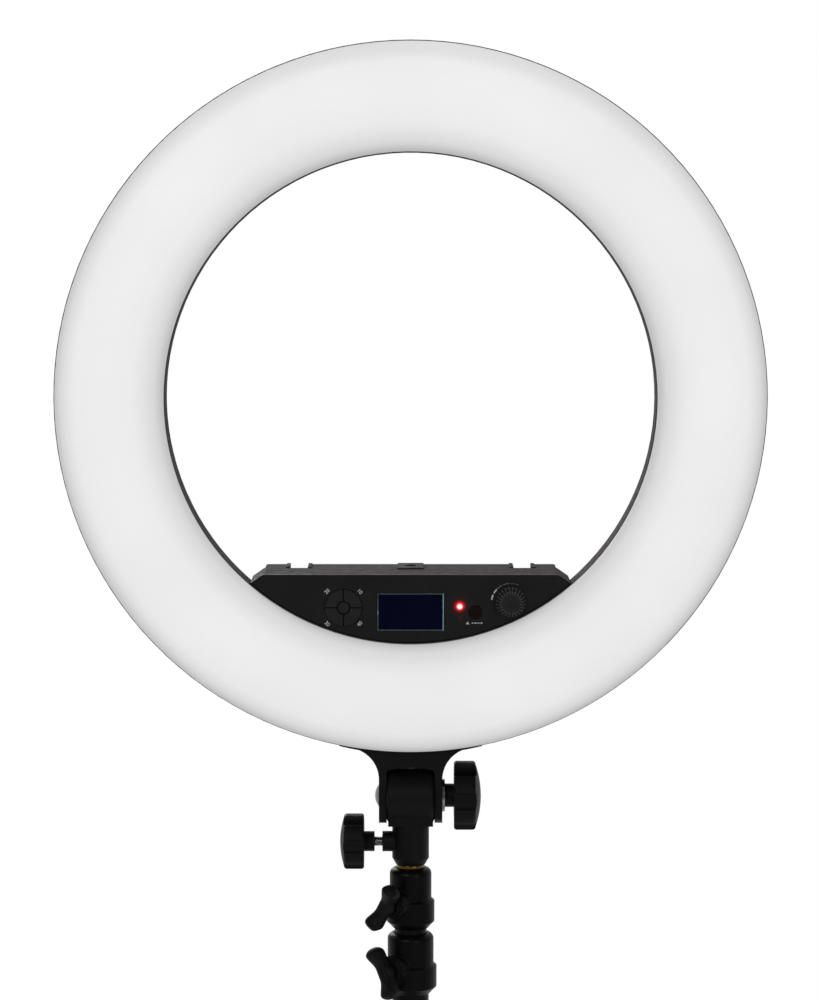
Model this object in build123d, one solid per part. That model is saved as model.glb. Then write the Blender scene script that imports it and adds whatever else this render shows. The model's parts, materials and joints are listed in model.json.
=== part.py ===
from build123d import *
import math
import os

# LED ring light with a tilting yoke, on a three-section stand with folding legs.
# Millimetres, +Z up, the lit face looks along -Y. While the pieces are made, the column stands
# on the Z axis and the floor is z = 0. The last lines move the whole model, so that its origin is
# on the floor below the middle of its footprint.
# The head is drawn in a frame of its own: x to the right, y up and z towards the viewer, from the
# ring's centre.

# Ring: the housing, the diffuser and the board between them
ring_radius = 240.0
opening_radius = 165.4
ring_front = 24.0             # front edge of the housing, before the mid plane
pan_back = 18.0               # flat back of the housing, behind the mid plane
pan_wall = 2.2
pan_inner_bend = 22.0         # outside radius of the corner by the opening
pan_outer_bend = 12.0
lip = 0.6                     # thin edge of the housing that holds the diffuser
lip_depth = 5.0
diffuser_wall = 2.2
edge_round = 9.0              # rounding along both edges of the diffuser
edge_rise = 1.0               # diffuser's straight sides above the housing's edge
crown_lean = 12.0             # degrees that the edge roundings stop short of the top
seat_gap = 0.1                # between pieces that drop into each other
board_wall = 1.6
board_gap = 2.0               # between the board's edges and the housing's walls
board_lift = 6.0              # board above the housing's floor
chip_size = 5.0
chip_height = 1.2
chips_in_row = 36
chip_rows = (0.3, 0.7)         # places across the board, as shares of its width
post_radius = 3.4
post_count = 8
screw_radius = 1.5
screw_head_radius = 3.0
screw_head = 1.4

# Control box in the lowest part of the opening, and its part behind the ring
box_height = 46.9             # lowest point of the opening to the box's top face
box_top = opening_radius - box_height   # top face, below the ring's centre
box_half = 100.2              # half the length of the straight top edge
box_slope = 35.0              # degrees of the sloping shoulders
box_round = 6.0
box_gap = 0.3                 # between the box and the wall of the opening
box_back = 36.0               # back face, behind the mid plane
box_wall = 2.4
rear_overlap = 48.6           # rear part beyond the opening, behind the ring
rear_arc = opening_radius + rear_overlap
fascia_wall = 3.0
fascia_bevel = 0.8
notch_x = 77.0                # finger notches over the battery plates
notch_width = 12.4
notch_depth = 4.0
notch_reach = 22.0
ear_width = 2.6
ear_height = 0.7
vent_count = 7
vent_pitch = 7.0
vent_slot = (2.4, 22.0)
vent_margin = 11.4            # vents above the lower edge
through = 100.0               # length of cutting tools that pass right through

# Controls on the fascia: places are across from the middle, and up from the ring's centre
screen_at = (0.0, -box_top - 25.4)
screen_size = (44.7, 25.2)
screen_sink = 0.6             # lens face below the fascia
module_rim = 2.9              # screen module beyond the lens
module_depth = 5.4
keypad_at = (-45.4, -box_top - 22.4)
keypad_radius = 12.5
centre_key_radius = 3.9
key_gap = 0.35
key_proud = 0.8
key_edge = 0.4
key_travel = 0.8
button_at = (43.8, -box_top - 25.5)
button_radius = 4.3
indicator_at = (33.2, -box_top - 21.4)
indicator_radius = 2.5
sensor_at = (33.8, -box_top - 29.6)
sensor_radius = 1.4
dial_at = (67.7, -box_top - 18.5)
dial_radius = 10.3
dial_base = 2.4
dial_grip_radius = 8.8
dial_height = 7.5
dial_edge = 0.8
dial_taper = 0.3
dial_notch_radius = 1.0
dial_notches = 24
dial_shaft_radius = 3.0
encoder_size = 12.0
encoder_floor = 1.0
pcb_wall = 1.6
pcb_inset = 6.0
pcb_half = 88.0
pillar_radius = 2.5
switch_size = 3.5
switch_height = 1.3

# Socket on top of the box
plate_width = 18.0
plate_length = 28.0
plate_height = 0.9
mouth_radius = 4.0
insert_radius = 4.6
insert_bore = 2.6
insert_length = 10.0
insert_at = -pan_back - 3.4   # socket axis, behind the ring so that a post can pass it

# Back of the box: two battery plates, a power inlet and a rocker switch
battery_plate = (38.0, 62.0)
battery_plate_wall = 3.5
battery_plate_top = box_top + 5.5   # upper edge, below the ring's centre
rail_width = 3.0
rail_height = 3.5
hook_length = 9.0
hook_reach = 2.0              # hooks beyond the rails
hook_places = (-0.22, 0.22)   # along the rails, as shares of their length
plate_corner = 2.0
latch_size = (12.0, 7.0)
latch_proud = 1.6             # pressed in, the latch is flush
latch_drop = 9.0              # latch centre below the plate's upper edge
inlet_at = (-17.0, -box_top - 31.5)
inlet_radius = 5.2
inlet_flange = 7.0
inlet_bore = 3.0
inlet_depth = 12.0
inlet_rim = 1.5
inlet_floor = 3.0
inlet_pin_radius = 1.0
inlet_pin_sunk = 0.5
rocker_at = (18.0, -box_top - 31.5)
rocker_radius = 7.6
rocker_width = 11.0
rocker_throw = 14.0           # degrees
bezel = (23.0, 17.0)
bezel_wall = 1.8
bezel_rim = 1.5               # bezel round the switch's body
switch_depth = 11.1
rocker_pin_radius = 1.5
rocker_pivot_depth = 1.0      # pivot inside the back face
rocker_face = 3.6             # faces of the rocker beyond its pivot

# Yoke under the ring
head_back = 9.0               # ring's mid plane behind the column's axis
ring_lift = 32.4              # ring's lowest point above the tilt axis
yoke_half = 21.6              # outside of the arms
yoke_gap = 16.4               # inside of the arms
yoke_depth = 26.0
yoke_arch = 21.4              # middle of the opening's roof above the tilt axis
yoke_spring = 19.4            # ends of the roof above the tilt axis
arch_round = 3.0
yoke_flare = 22.0             # radius of the hollow sides
saddle_wall = 1.9
saddle_tip = 0.9              # thickness of the saddle's ends
saddle_half = 48.5
arm_end = 18.8
yoke_screw_at = (10.5, 7.0)     # across from the middle, and in depth
yoke_screw_reach = 7.0
yoke_screw_seat = 4.0         # yoke's metal between the ring and the screw heads
yoke_screw_pocket = (3.3, 14.0)

# Tilt bolt, washer and knob
bolt_radius = 3.0
bolt_head_radius = 7.8
bolt_head = 2.8
washer_radius = 11.2
washer_wall = 1.8
tilt_hub_radius = 8.0
tilt_hub = 6.3
tilt_knob_radius = 23.5
tilt_knob_depth = 18.4
knob_dome = 3.6
knob_edge = 2.2
knob_lobe_share = 0.36        # radius of the scallops, as a share of the knob's
knob_lobe_reach = 1.2
knob_lobes = 6
running_gap = 0.05            # radial gap of shafts and pins that turn

# Knuckle with its socket, and the lock knob
barrel_radius = 18.8
barrel_half = yoke_gap - running_gap
block_half = 15.3
block_drop = 19.2
block_depth = 26.0
socket_radius = 12.6
socket_drop = 47.2
socket_end_radius = 10.2
socket_taper = 4.2
lock_drop = 31.9
lock_boss_radius = 6.95
lock_boss_reach = 19.3
lock_hub_radius = 6.85
lock_hub = 7.2
lock_stem = 5.4               # bare screw between boss and hub
lock_knob_radius = 18.9
lock_knob_depth = 16.4
lock_dome = 2.6

# Stud, tubes and clamp collars
stud_radius = 7.94
stud_length = 33.0
stud_flange_radius = 9.7
stud_flange = 2.0
stud_waist_radius = 7.2
stud_waist = 10.0
stud_root = 16.0
stud_edge = 1.0
part_gap = 0.3                # between pieces that move past each other
base_tube_radius = 12.5
middle_tube_radius = 11.0
top_tube_radius = 9.5
tube_wall = 1.2
base_tube_length = 600.0
base_tube_foot = 8.0          # lower end above the floor
middle_tube_foot = 30.0
top_tube_foot = 60.0
guide_height = 6.0
guide_insert = 14.0
collar_height = 41.5
collar_rise = 5.0             # collar above the end of its tube
collar_gap = 3.9
collar_wall = 3.3             # body beyond the tube it sits on
collar_lip = 0.4              # flat rim round the inner tube, before the round shoulder
band_wall = 5.4
band_top = 23.0               # below the collar's top
band_bottom = 37.0
band_ramp = 2.0
collar_foot_wall = 1.2
collar_screw_drop = 23.0      # clamp screw below the collar's top
collar_boss_radius = 10.0
boss_reach = 19.0
boss_ridges = 3               # stepped ridges on the boss, each smaller than the last
boss_ridge = 0.8
boss_step = 1.2
wing_side = 40.0              # degrees that the knobs point to the left of straight ahead
wing_screw_radius = 3.0
wing_hub_radius = 6.6
wing_span = 19.0
wing_reach = 14.5
wing_wall = 6.5
wing_tip = 2.2
upper_wing_roll = -32.0
lower_wing_roll = 28.0

# Folding legs
leg_count = 3
leg_length = 480.0            # from the pin to the centre of the foot's end
leg_radius = 8.0
leg_open = 60.0               # degrees from upright, spread
leg_shut = 2.5                # degrees from upright, folded
leg_plug = 14.0               # solid part at the leg's upper end
pin_reach = 27.0              # leg and brace pins from the column's axis
pin_radius = 2.5
pin_head_radius = 4.0
pin_head = 1.2
foot_rise = 9.5               # end of the leg's axis above the floor
foot_radius = 10.5
foot_sleeve = 28.0
foot_sole = 6.0
foot_edge = 1.5
hub_pin_height = 22.0
hub_wall = 4.3
hub_height = 30.0
hub_lug_radius = 7.0
hub_edge = 2.0
plug_radius = 14.5
plug_wall = 4.0
plug_insert = 12.0
strut_width = 13.0
strut_wall = 2.0
strut_gap = 0.4
leg_collar_radius = 18.4
leg_collar_below = 12.0
leg_collar_above = 24.0
ear_wall = 4.0
ear_reach = 8.0
collar_knob_lift = 14.0
collar_knob_boss = (8.0, 5.0)   # radius, and reach beyond the collar

# Heights that follow from the sizes above, and the folding of the legs
lower_collar_top = base_tube_foot + base_tube_length + collar_rise
upper_collar_top = lower_collar_top + collar_gap + collar_height
stud_flange_foot = upper_collar_top + 0.5
stud_flange_top = stud_flange_foot + stud_flange
tilt_height = stud_flange_top + part_gap + socket_drop
ring_height = tilt_height + ring_lift + ring_radius
box_face = ring_front - fascia_wall
pcb_front = box_face - module_depth
key_foot = pcb_front + switch_height + key_travel + part_gap

open_sin = math.sin(math.radians(leg_open))
open_cos = math.cos(math.radians(leg_open))
shut_sin = math.sin(math.radians(leg_shut))
shut_cos = math.cos(math.radians(leg_shut))
leg_pin_height = foot_rise + leg_length * open_cos
leg_pin_raised = foot_rise + leg_length * shut_cos
pins_apart = leg_pin_height - hub_pin_height
pins_apart_shut = leg_pin_raised - hub_pin_height
# The strut meets the leg where one strut length closes the triangle both spread and folded.
strut_on_leg = (pins_apart_shut**2 - pins_apart**2) / (
    2 * (shut_cos * pins_apart_shut - open_cos * pins_apart)
)
strut_length = math.hypot(strut_on_leg * open_sin, pins_apart - strut_on_leg * open_cos)
strut_open = math.degrees(math.asin(strut_on_leg * open_sin / strut_length))
strut_shut = math.degrees(math.asin(strut_on_leg * shut_sin / strut_length))
leg_azimuths = [-90.0 + 360.0 * i / leg_count for i in range(leg_count)]


# Helpers
def rod(radius, start, end):
    """Round bar between two points."""
    start = Vector(*start)
    run = Vector(*end) - start
    bar = Cylinder(radius, run.length, align=(Align.CENTER, Align.CENTER, Align.MIN))
    return Plane(origin=start, z_dir=run) * bar


def turned(*corners):
    """Solid of revolution about Z, from corners of radius and height."""
    outline = Polyline(*[(radius, height) for radius, height in corners], close=True)
    return turn(make_face(outline))


def turn(face):
    """Turns a face drawn in radius and height about Z."""
    return revolve(Plane.XZ * face, Axis.Z)


def slab(sketch, low, high):
    """Flat sketch thickened from one height to another."""
    return extrude(Pos(0, 0, low) * sketch, high - low)


def on_head(piece):
    """Moves a piece from the head's own frame to its place on the stand."""
    return Pos(0, head_back, ring_height) * Rot(90, 0, 0) * piece


def facing(azimuth, height):
    """Frame with z outward from the column, y up and x across."""
    side = math.radians(azimuth)
    across = (-math.sin(side), math.cos(side), 0)
    return Plane(origin=(0, 0, height), x_dir=across, z_dir=(math.cos(side), math.sin(side), 0))


def lobed_knob(radius, depth, dome, bore):
    """Hand knob along +Z with scallops round its rim and a domed outer face."""
    half = radius - knob_edge
    bulge = (half**2 + dome**2) / (2 * dome)
    lean = math.asin(half / bulge) / 2
    middle = (bulge * math.sin(lean), depth - bulge * (1 - math.cos(lean)))
    outline = Polyline((0, depth), (0, depth / 2), (bore, depth / 2), (bore, 0),
                       (radius - knob_edge / 2, 0), (radius, knob_edge / 2),
                       (radius, depth - dome - knob_edge))
    outline += CenterArc((half, depth - dome - knob_edge), knob_edge, 0, 90)
    outline += ThreePointArc((half, depth - dome), middle, (0, depth))
    knob = turn(make_face(outline))
    for i in range(knob_lobes):
        turn_by = Rot(0, 0, 360.0 * (i + 0.5) / knob_lobes)
        scallop = Pos(radius * knob_lobe_reach, 0, 0) * Cylinder(radius * knob_lobe_share, 3 * depth)
        knob -= turn_by * scallop
    return knob


# Ring
def pan_section(inset, front):
    """Cross-section of the pan, moved in from its outside by inset."""
    inner = opening_radius + inset
    outer = ring_radius - inset
    floor = -pan_back + inset
    bend_in = pan_inner_bend - inset
    bend_out = pan_outer_bend - inset
    corner_in = (opening_radius + pan_inner_bend, -pan_back + pan_inner_bend)
    corner_out = (ring_radius - pan_outer_bend, -pan_back + pan_outer_bend)
    line = Line((inner, front), (inner, corner_in[1]))
    line += CenterArc(corner_in, bend_in, 180, 90)
    line += Line((corner_in[0], floor), (corner_out[0], floor))
    line += CenterArc(corner_out, bend_out, 270, 90)
    line += Line((outer, corner_out[1]), (outer, front))
    line += Line((outer, front), (inner, front))
    return make_face(line)


def around(count, radius, first=0.0):
    """Places spaced evenly round a circle."""
    for i in range(count):
        angle = math.radians(first + 360.0 * i / count)
        yield radius * math.cos(angle), radius * math.sin(angle)


post_circle = (opening_radius + ring_radius) / 2
pan_floor = -pan_back + pan_wall
board_back = pan_floor + board_lift
post_first = 180.0 / post_count


def wall_at(height):
    """Inside radii of the pan's two walls at a height below both corners' centres."""
    bend_in = pan_inner_bend - pan_wall
    bend_out = pan_outer_bend - pan_wall
    drop_in = -pan_back + pan_inner_bend - height
    drop_out = -pan_back + pan_outer_bend - height
    inner = opening_radius + pan_inner_bend - math.sqrt(bend_in**2 - drop_in**2)
    outer = ring_radius - pan_outer_bend + math.sqrt(bend_out**2 - max(drop_out, 0.0) ** 2)
    return inner, outer


board_inner, board_outer = [
    radius + way * board_gap for radius, way in zip(wall_at(board_back), (1, -1))
]


def make_rear_housing():
    pan = turn(pan_section(0, ring_front)) - turn(pan_section(pan_wall, ring_front + 1))
    rebate = turned(
        (opening_radius + lip, ring_front - lip_depth), (ring_radius - lip, ring_front - lip_depth),
        (ring_radius - lip, ring_front + 1), (opening_radius + lip, ring_front + 1),
    )
    pan -= rebate
    for x, y in around(post_count, post_circle, post_first):
        pan += Pos(x, y, 0) * rod(post_radius, (0, 0, pan_floor), (0, 0, board_back))
        pan -= Pos(x, y, 0) * rod(screw_radius, (0, 0, -pan_back - 1), (0, 0, board_back + 1))
        pan -= Pos(x, y, 0) * rod(
            screw_head_radius, (0, 0, -pan_back - 1), (0, 0, -pan_back + screw_head))
    for hole in yoke_screw_shanks(running_gap):
        pan -= hole
    return pan


def diffuser_section(inset):
    """Cross-section of the crowned cover, moved in from its outside by inset."""
    left = opening_radius + lip + seat_gap
    right = ring_radius - lip - seat_gap
    low = ring_front - lip_depth - inset
    shoulder = ring_front + edge_rise
    half = (right - left) / 2
    lean = math.radians(crown_lean)
    drop = (half - edge_round) / math.sin(lean)
    middle = ((left + right) / 2, shoulder - drop * math.cos(lean))
    line = Line((left + inset, low), (left + inset, shoulder))
    line += CenterArc((left + edge_round, shoulder), edge_round - inset, 90 + crown_lean,
                      90 - crown_lean)
    line += CenterArc(middle, drop + edge_round - inset, 90 - crown_lean, 2 * crown_lean)
    line += CenterArc((right - edge_round, shoulder), edge_round - inset, 0, 90 - crown_lean)
    line += Line((right - inset, shoulder), (right - inset, low))
    line += Line((right - inset, low), (left + inset, low))
    return make_face(line)


def make_diffuser():
    return turn(diffuser_section(0)) - turn(diffuser_section(diffuser_wall))


def make_led_board():
    board = slab(Circle(board_outer) - Circle(board_inner), board_back, board_back + board_wall)
    for row in chip_rows:
        radius = board_inner + (board_outer - board_inner) * row
        for i in range(chips_in_row):
            turn_by = Rot(0, 0, 360.0 * i / chips_in_row)
            chip = Pos(radius, 0, board_back + board_wall) * Box(
                chip_size, chip_size, chip_height, align=(Align.CENTER, Align.CENTER, Align.MIN))
            board += turn_by * chip
    for x, y in around(post_count, post_circle, post_first):
        board -= Pos(x, y, 0) * rod(screw_radius, (0, 0, board_back - 1), (0, 0, ring_front))
    return board


def make_ring_screws():
    screw = rod(screw_radius, (0, 0, -pan_back), (0, 0, board_back + board_wall))
    screw += rod(screw_head_radius, (0, 0, -pan_back), (0, 0, -pan_back + screw_head))
    return Compound([Pos(x, y, 0) * screw for x, y in around(post_count, post_circle, post_first)])


# Control box
def chord(half, radius):
    """Outline under the box's top edge, with sloping shoulders, inside a circle."""
    far = ring_radius
    fall = (far - half) * math.tan(math.radians(box_slope))
    corners = Polyline(
        (-half, -box_top), (half, -box_top), (far, -box_top - fall), (far, -ring_radius),
        (-far, -ring_radius), (-far, -box_top - fall), close=True)
    shape = make_face(corners)
    tips = [v for v in shape.vertices() if abs(v.Y + box_top) < 0.01]
    return fillet(tips, box_round) & Circle(radius)


def box_outline():
    return chord(box_half, opening_radius - box_gap)


def rear_outline():
    return chord(box_half, rear_arc) & Pos(0, -rear_arc / 2) * Rectangle(2 * box_half, rear_arc * 2)


def battery_places():
    """Centres of the two battery plates."""
    middle = -battery_plate_top - battery_plate[1] / 2
    return [(-notch_x, middle), (notch_x, middle)]


def latch_places():
    return [(x, -battery_plate_top - latch_drop) for x in (-notch_x, notch_x)]


def make_control_box():
    front = box_outline()
    rear = rear_outline()
    box = slab(front, -pan_back, box_face) + slab(rear, -box_back, -pan_back)
    inner = offset(front, -box_wall)
    inner_rear = offset(rear, -box_wall)
    box -= slab(inner, -pan_back + box_wall, box_face + 1)
    box -= slab(inner_rear, -box_back + box_wall, -pan_back - box_wall)
    box -= slab(offset(front & rear, -box_wall), -pan_back - box_wall - 1, -pan_back + box_wall + 1)
    top = -box_top
    for side in (-notch_x, notch_x):
        ears = Box(notch_width + 2 * ear_width, ear_height, notch_reach,
                   align=(Align.CENTER, Align.MIN, Align.MIN))
        box += Pos(side, top, -box_back) * ears
        pocket = Box(notch_width + 2 * box_wall, notch_depth + box_wall, notch_reach + box_wall,
                     align=(Align.CENTER, Align.MAX, Align.MIN))
        box += Pos(side, top, -box_back) * pocket
        notch = Box(notch_width, notch_depth + ear_height + 1, notch_reach + 1,
                    align=(Align.CENTER, Align.MIN, Align.MIN))
        box -= Pos(side, top - notch_depth, -box_back - 1) * notch
    boss_foot = top - insert_length - box_wall
    box += rod(insert_radius + box_wall, (0, boss_foot, insert_at), (0, top, insert_at))
    box -= rod(insert_radius, (0, top - insert_length, insert_at), (0, top + 1, insert_at))
    for x, y in latch_places():
        hole = Box(latch_size[0] + 2 * part_gap, latch_size[1] + 2 * part_gap, 3 * box_wall)
        box -= Pos(x, y, -box_back) * hole
    box -= Pos(*inlet_at, -box_back) * Cylinder(inlet_radius, 3 * box_wall)
    box -= Pos(*rocker_at, -box_back) * Box(
        bezel[1] - 2 * bezel_rim, bezel[0] - 2 * bezel_rim, 3 * box_wall)
    for i in range(vent_count):
        across = (i - (vent_count - 1) / 2) * vent_pitch
        slot = SlotOverall(vent_slot[1], vent_slot[0], rotation=90)
        middle = -rear_arc + vent_slot[1] / 2 + vent_margin
        box -= slab(Pos(across, middle) * slot, -box_back - 1, -box_back + box_wall + 1)
    return box


def make_fascia():
    plate = slab(box_outline(), box_face, ring_front)
    rim = plate.faces().sort_by(Axis.Z)[-1].edges()
    plate = chamfer(rim, fascia_bevel)
    for x, y in pillar_places():
        plate += Pos(x, y, 0) * rod(pillar_radius, (0, 0, pcb_front), (0, 0, box_face))
    deep = fascia_wall * 4
    plate -= Pos(*screen_at, ring_front) * Box(
        screen_size[0] + 2 * seat_gap, screen_size[1] + 2 * seat_gap, deep)
    for place, radius in (
        (keypad_at, keypad_radius + key_gap), (button_at, button_radius + key_gap),
        (indicator_at, indicator_radius), (sensor_at, sensor_radius),
        (dial_at, dial_shaft_radius + part_gap),
    ):
        plate -= Pos(*place, ring_front) * Cylinder(radius, deep)
    return plate


def pillar_places():
    """Corners of the circuit board that the fascia's pillars hold."""
    top = -box_top - box_wall - 2 * pillar_radius
    half = pcb_half - 2 * pillar_radius
    by_screen = screen_size[0] / 2 + module_rim + pillar_radius + 1.0
    return [(-half, top - 2), (half, top - 2), (-by_screen, top), (by_screen, top)]


def make_screen_lens():
    lens = Box(*screen_size, fascia_wall - screen_sink,
               align=(Align.CENTER, Align.CENTER, Align.MIN))
    return Pos(*screen_at, box_face) * lens


def make_screen_module():
    module = Box(screen_size[0] + 2 * module_rim, screen_size[1] + 2 * module_rim, module_depth,
                 align=(Align.CENTER, Align.CENTER, Align.MIN))
    return Pos(*screen_at, pcb_front) * module


def make_control_board():
    outline = offset(box_outline(), -pcb_inset) & Pos(0, -box_top) * Rectangle(
        2 * pcb_half, 2 * ring_radius)
    return Compound([slab(outline, pcb_front - pcb_wall, pcb_front)] + key_switches())


def key_centres():
    """Middles of the four quadrant keys."""
    reach = (keypad_radius + centre_key_radius) / 2
    for x, y in around(4, reach, 45.0):
        yield keypad_at[0] + x, keypad_at[1] + y


def key_switches():
    low = Box(switch_size, switch_size, switch_height,
              align=(Align.CENTER, Align.CENTER, Align.MIN))
    places = list(key_centres()) + [keypad_at, button_at]
    return [Pos(x, y, pcb_front) * low for x, y in places]


def make_quadrant_key(index):
    sector = Circle(keypad_radius) - Circle(centre_key_radius + 2 * key_gap)
    corner = Pos(key_gap, key_gap) * Rectangle(
        ring_front, ring_front, align=(Align.MIN, Align.MIN))
    sector = Rot(0, 0, 90.0 * index) * (sector & corner)
    key = slab(sector, key_foot, ring_front + key_proud)
    return Pos(*keypad_at, 0) * key


def push_key(place, radius):
    low = (place[0], place[1], key_foot)
    high = (place[0], place[1], ring_front + key_proud)
    key = rod(radius, low, high)
    return fillet(key.edges().sort_by(Axis.Z)[-1:], key_edge)


def make_indicator():
    dome = rod(indicator_radius, (0, 0, pcb_front), (0, 0, ring_front))
    dome += Pos(0, 0, ring_front) * Sphere(indicator_radius)
    return Pos(*indicator_at, 0) * dome


def make_sensor():
    return rod(sensor_radius, (*sensor_at, pcb_front), (*sensor_at, ring_front))


def make_dial():
    foot = ring_front + part_gap
    knob = turned(
        (0, foot), (dial_radius, foot), (dial_radius, foot + dial_base - dial_edge),
        (dial_radius - dial_edge, foot + dial_base), (dial_grip_radius, foot + dial_base),
        (dial_grip_radius - dial_taper, foot + dial_height - dial_edge),
        (dial_grip_radius - dial_taper - dial_edge, foot + dial_height), (0, foot + dial_height),
    )
    for i in range(dial_notches):
        groove = Pos(dial_grip_radius, 0, foot + dial_base + dial_height / 2) * Cylinder(
            dial_notch_radius, dial_height)
        knob -= Rot(0, 0, 360.0 * i / dial_notches) * groove
    shaft_foot = pcb_front + encoder_floor + part_gap
    knob += rod(dial_shaft_radius, (0, 0, shaft_foot), (0, 0, foot))
    return Pos(*dial_at, 0) * knob


def make_encoder():
    body = Box(encoder_size, encoder_size, module_depth,
               align=(Align.CENTER, Align.CENTER, Align.MIN))
    body = Pos(0, 0, pcb_front) * body
    body -= rod(dial_shaft_radius + running_gap, (0, 0, pcb_front + encoder_floor), (0, 0, ring_front))
    return Pos(*dial_at, 0) * body


def make_accessory_plate():
    plate = Rectangle(plate_width, plate_length) - Circle(mouth_radius)
    slabbed = extrude(plate, plate_height)
    return Pos(0, -box_top, insert_at) * Rot(-90, 0, 0) * slabbed


def make_thread_insert():
    top = -box_top
    sleeve = rod(insert_radius, (0, top - insert_length, insert_at), (0, top, insert_at))
    return sleeve - rod(insert_bore, (0, top - insert_length - 1, insert_at), (0, top + 1, insert_at))


def make_battery_plate(place):
    width, height = battery_plate
    plate = fillet(Box(width, height, battery_plate_wall).edges().filter_by(Axis.Z), plate_corner)
    plate = Pos(0, 0, -battery_plate_wall / 2) * plate
    for side in (-1, 1):
        rail = Box(rail_width, height, rail_height, align=(Align.CENTER, Align.CENTER, Align.MAX))
        plate += Pos(side * (width - rail_width) / 2, 0, -battery_plate_wall) * rail
        for along in hook_places:
            hook = Box(rail_width + hook_reach, hook_length, rail_height / 3,
                       align=(Align.CENTER, Align.CENTER, Align.MIN))
            inward = side * (width - rail_width - hook_reach) / 2
            plate += Pos(inward, along * height, -battery_plate_wall - rail_height) * hook
    plate -= Pos(0, height / 2 - latch_drop, 0) * Box(
        latch_size[0] + 2 * part_gap, latch_size[1] + 2 * part_gap, 3 * battery_plate_wall)
    return Pos(*place, -box_back) * plate


def make_latch(place):
    button = Box(*latch_size, box_wall + battery_plate_wall + latch_proud,
                 align=(Align.CENTER, Align.CENTER, Align.MAX))
    button = fillet(button.edges().filter_by(Axis.Z), 1.0)
    return Pos(*place, -box_back + box_wall) * button


def make_power_inlet():
    floor = inlet_depth - inlet_floor
    jack = rod(inlet_radius, (0, 0, 0), (0, 0, inlet_depth))
    jack += rod(inlet_flange, (0, 0, -inlet_rim), (0, 0, 0))
    jack -= rod(inlet_bore, (0, 0, -inlet_rim - 1), (0, 0, floor))
    jack += rod(inlet_pin_radius, (0, 0, inlet_pin_sunk), (0, 0, floor + 1))
    return Pos(*inlet_at, -box_back) * jack


def make_switch_frame():
    """Bezel of the rocker switch with its body, open towards the back."""
    frame = Box(bezel[1], bezel[0], bezel_wall, align=(Align.CENTER, Align.CENTER, Align.MAX))
    frame += Box(bezel[1] - 2 * bezel_rim, bezel[0] - 2 * bezel_rim, switch_depth,
                 align=(Align.CENTER, Align.CENTER, Align.MIN))
    well = Box(rocker_width + 2 * part_gap, 2 * (rocker_radius + part_gap), through,
               align=(Align.CENTER, Align.CENTER, Align.MAX))
    frame -= Pos(0, 0, switch_depth - box_wall) * well
    pin_end = rocker_width / 2 + 1.0
    frame += rod(rocker_pin_radius, (-pin_end, 0, rocker_pivot_depth), (pin_end, 0, rocker_pivot_depth))
    return Pos(*rocker_at, -box_back) * frame


def make_rocker():
    """Rocker with two faces that meet over the pivot, one of them pressed in."""
    face = Circle(rocker_radius)
    lean = rocker_throw / 2
    for way in (-1, 1):
        cut = Pos(0, rocker_face) * Rot(0, 0, way * lean) * Rectangle(
            through, through, align=(Align.CENTER, Align.MIN))
        face -= cut & Pos(way * through / 2, 0) * Rectangle(through, 2 * through)
    face = Rot(0, 0, -lean) * face
    face -= Circle(rocker_pin_radius + running_gap)
    solid = extrude(face, rocker_width / 2, both=True)
    # The sketch's up becomes the way out of the back, and its thickness runs across.
    facing_out = Plane(origin=(0, 0, rocker_pivot_depth), x_dir=(0, 1, 0), z_dir=(-1, 0, 0))
    return Pos(*rocker_at, -box_back) * (facing_out * solid)


# Yoke: drawn from the front, from the tilt axis
def yoke_screw_shanks(extra):
    """Shanks of the yoke's screws in the head's frame, made thicker by extra."""
    x, depth = yoke_screw_at
    for side in (-1, 1):
        for front in (-1, 1):
            angle = math.asin(x / ring_radius)
            out = (side * math.sin(angle), -math.cos(angle))
            z = head_back + front * depth
            low = ring_radius - yoke_screw_reach
            high = ring_radius + yoke_screw_seat
            start = (out[0] * low, out[1] * low, z)
            end = (out[0] * high, out[1] * high, z)
            yield rod(screw_radius + extra, start, end)


def yoke_screw_heads(radius, height):
    x, depth = yoke_screw_at
    for side in (-1, 1):
        for front in (-1, 1):
            angle = math.asin(x / ring_radius)
            out = (side * math.sin(angle), -math.cos(angle))
            z = head_back + front * depth
            low = ring_radius + yoke_screw_seat
            high = low + height
            yield rod(radius, (out[0] * low, out[1] * low, z), (out[0] * high, out[1] * high, z))


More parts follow.
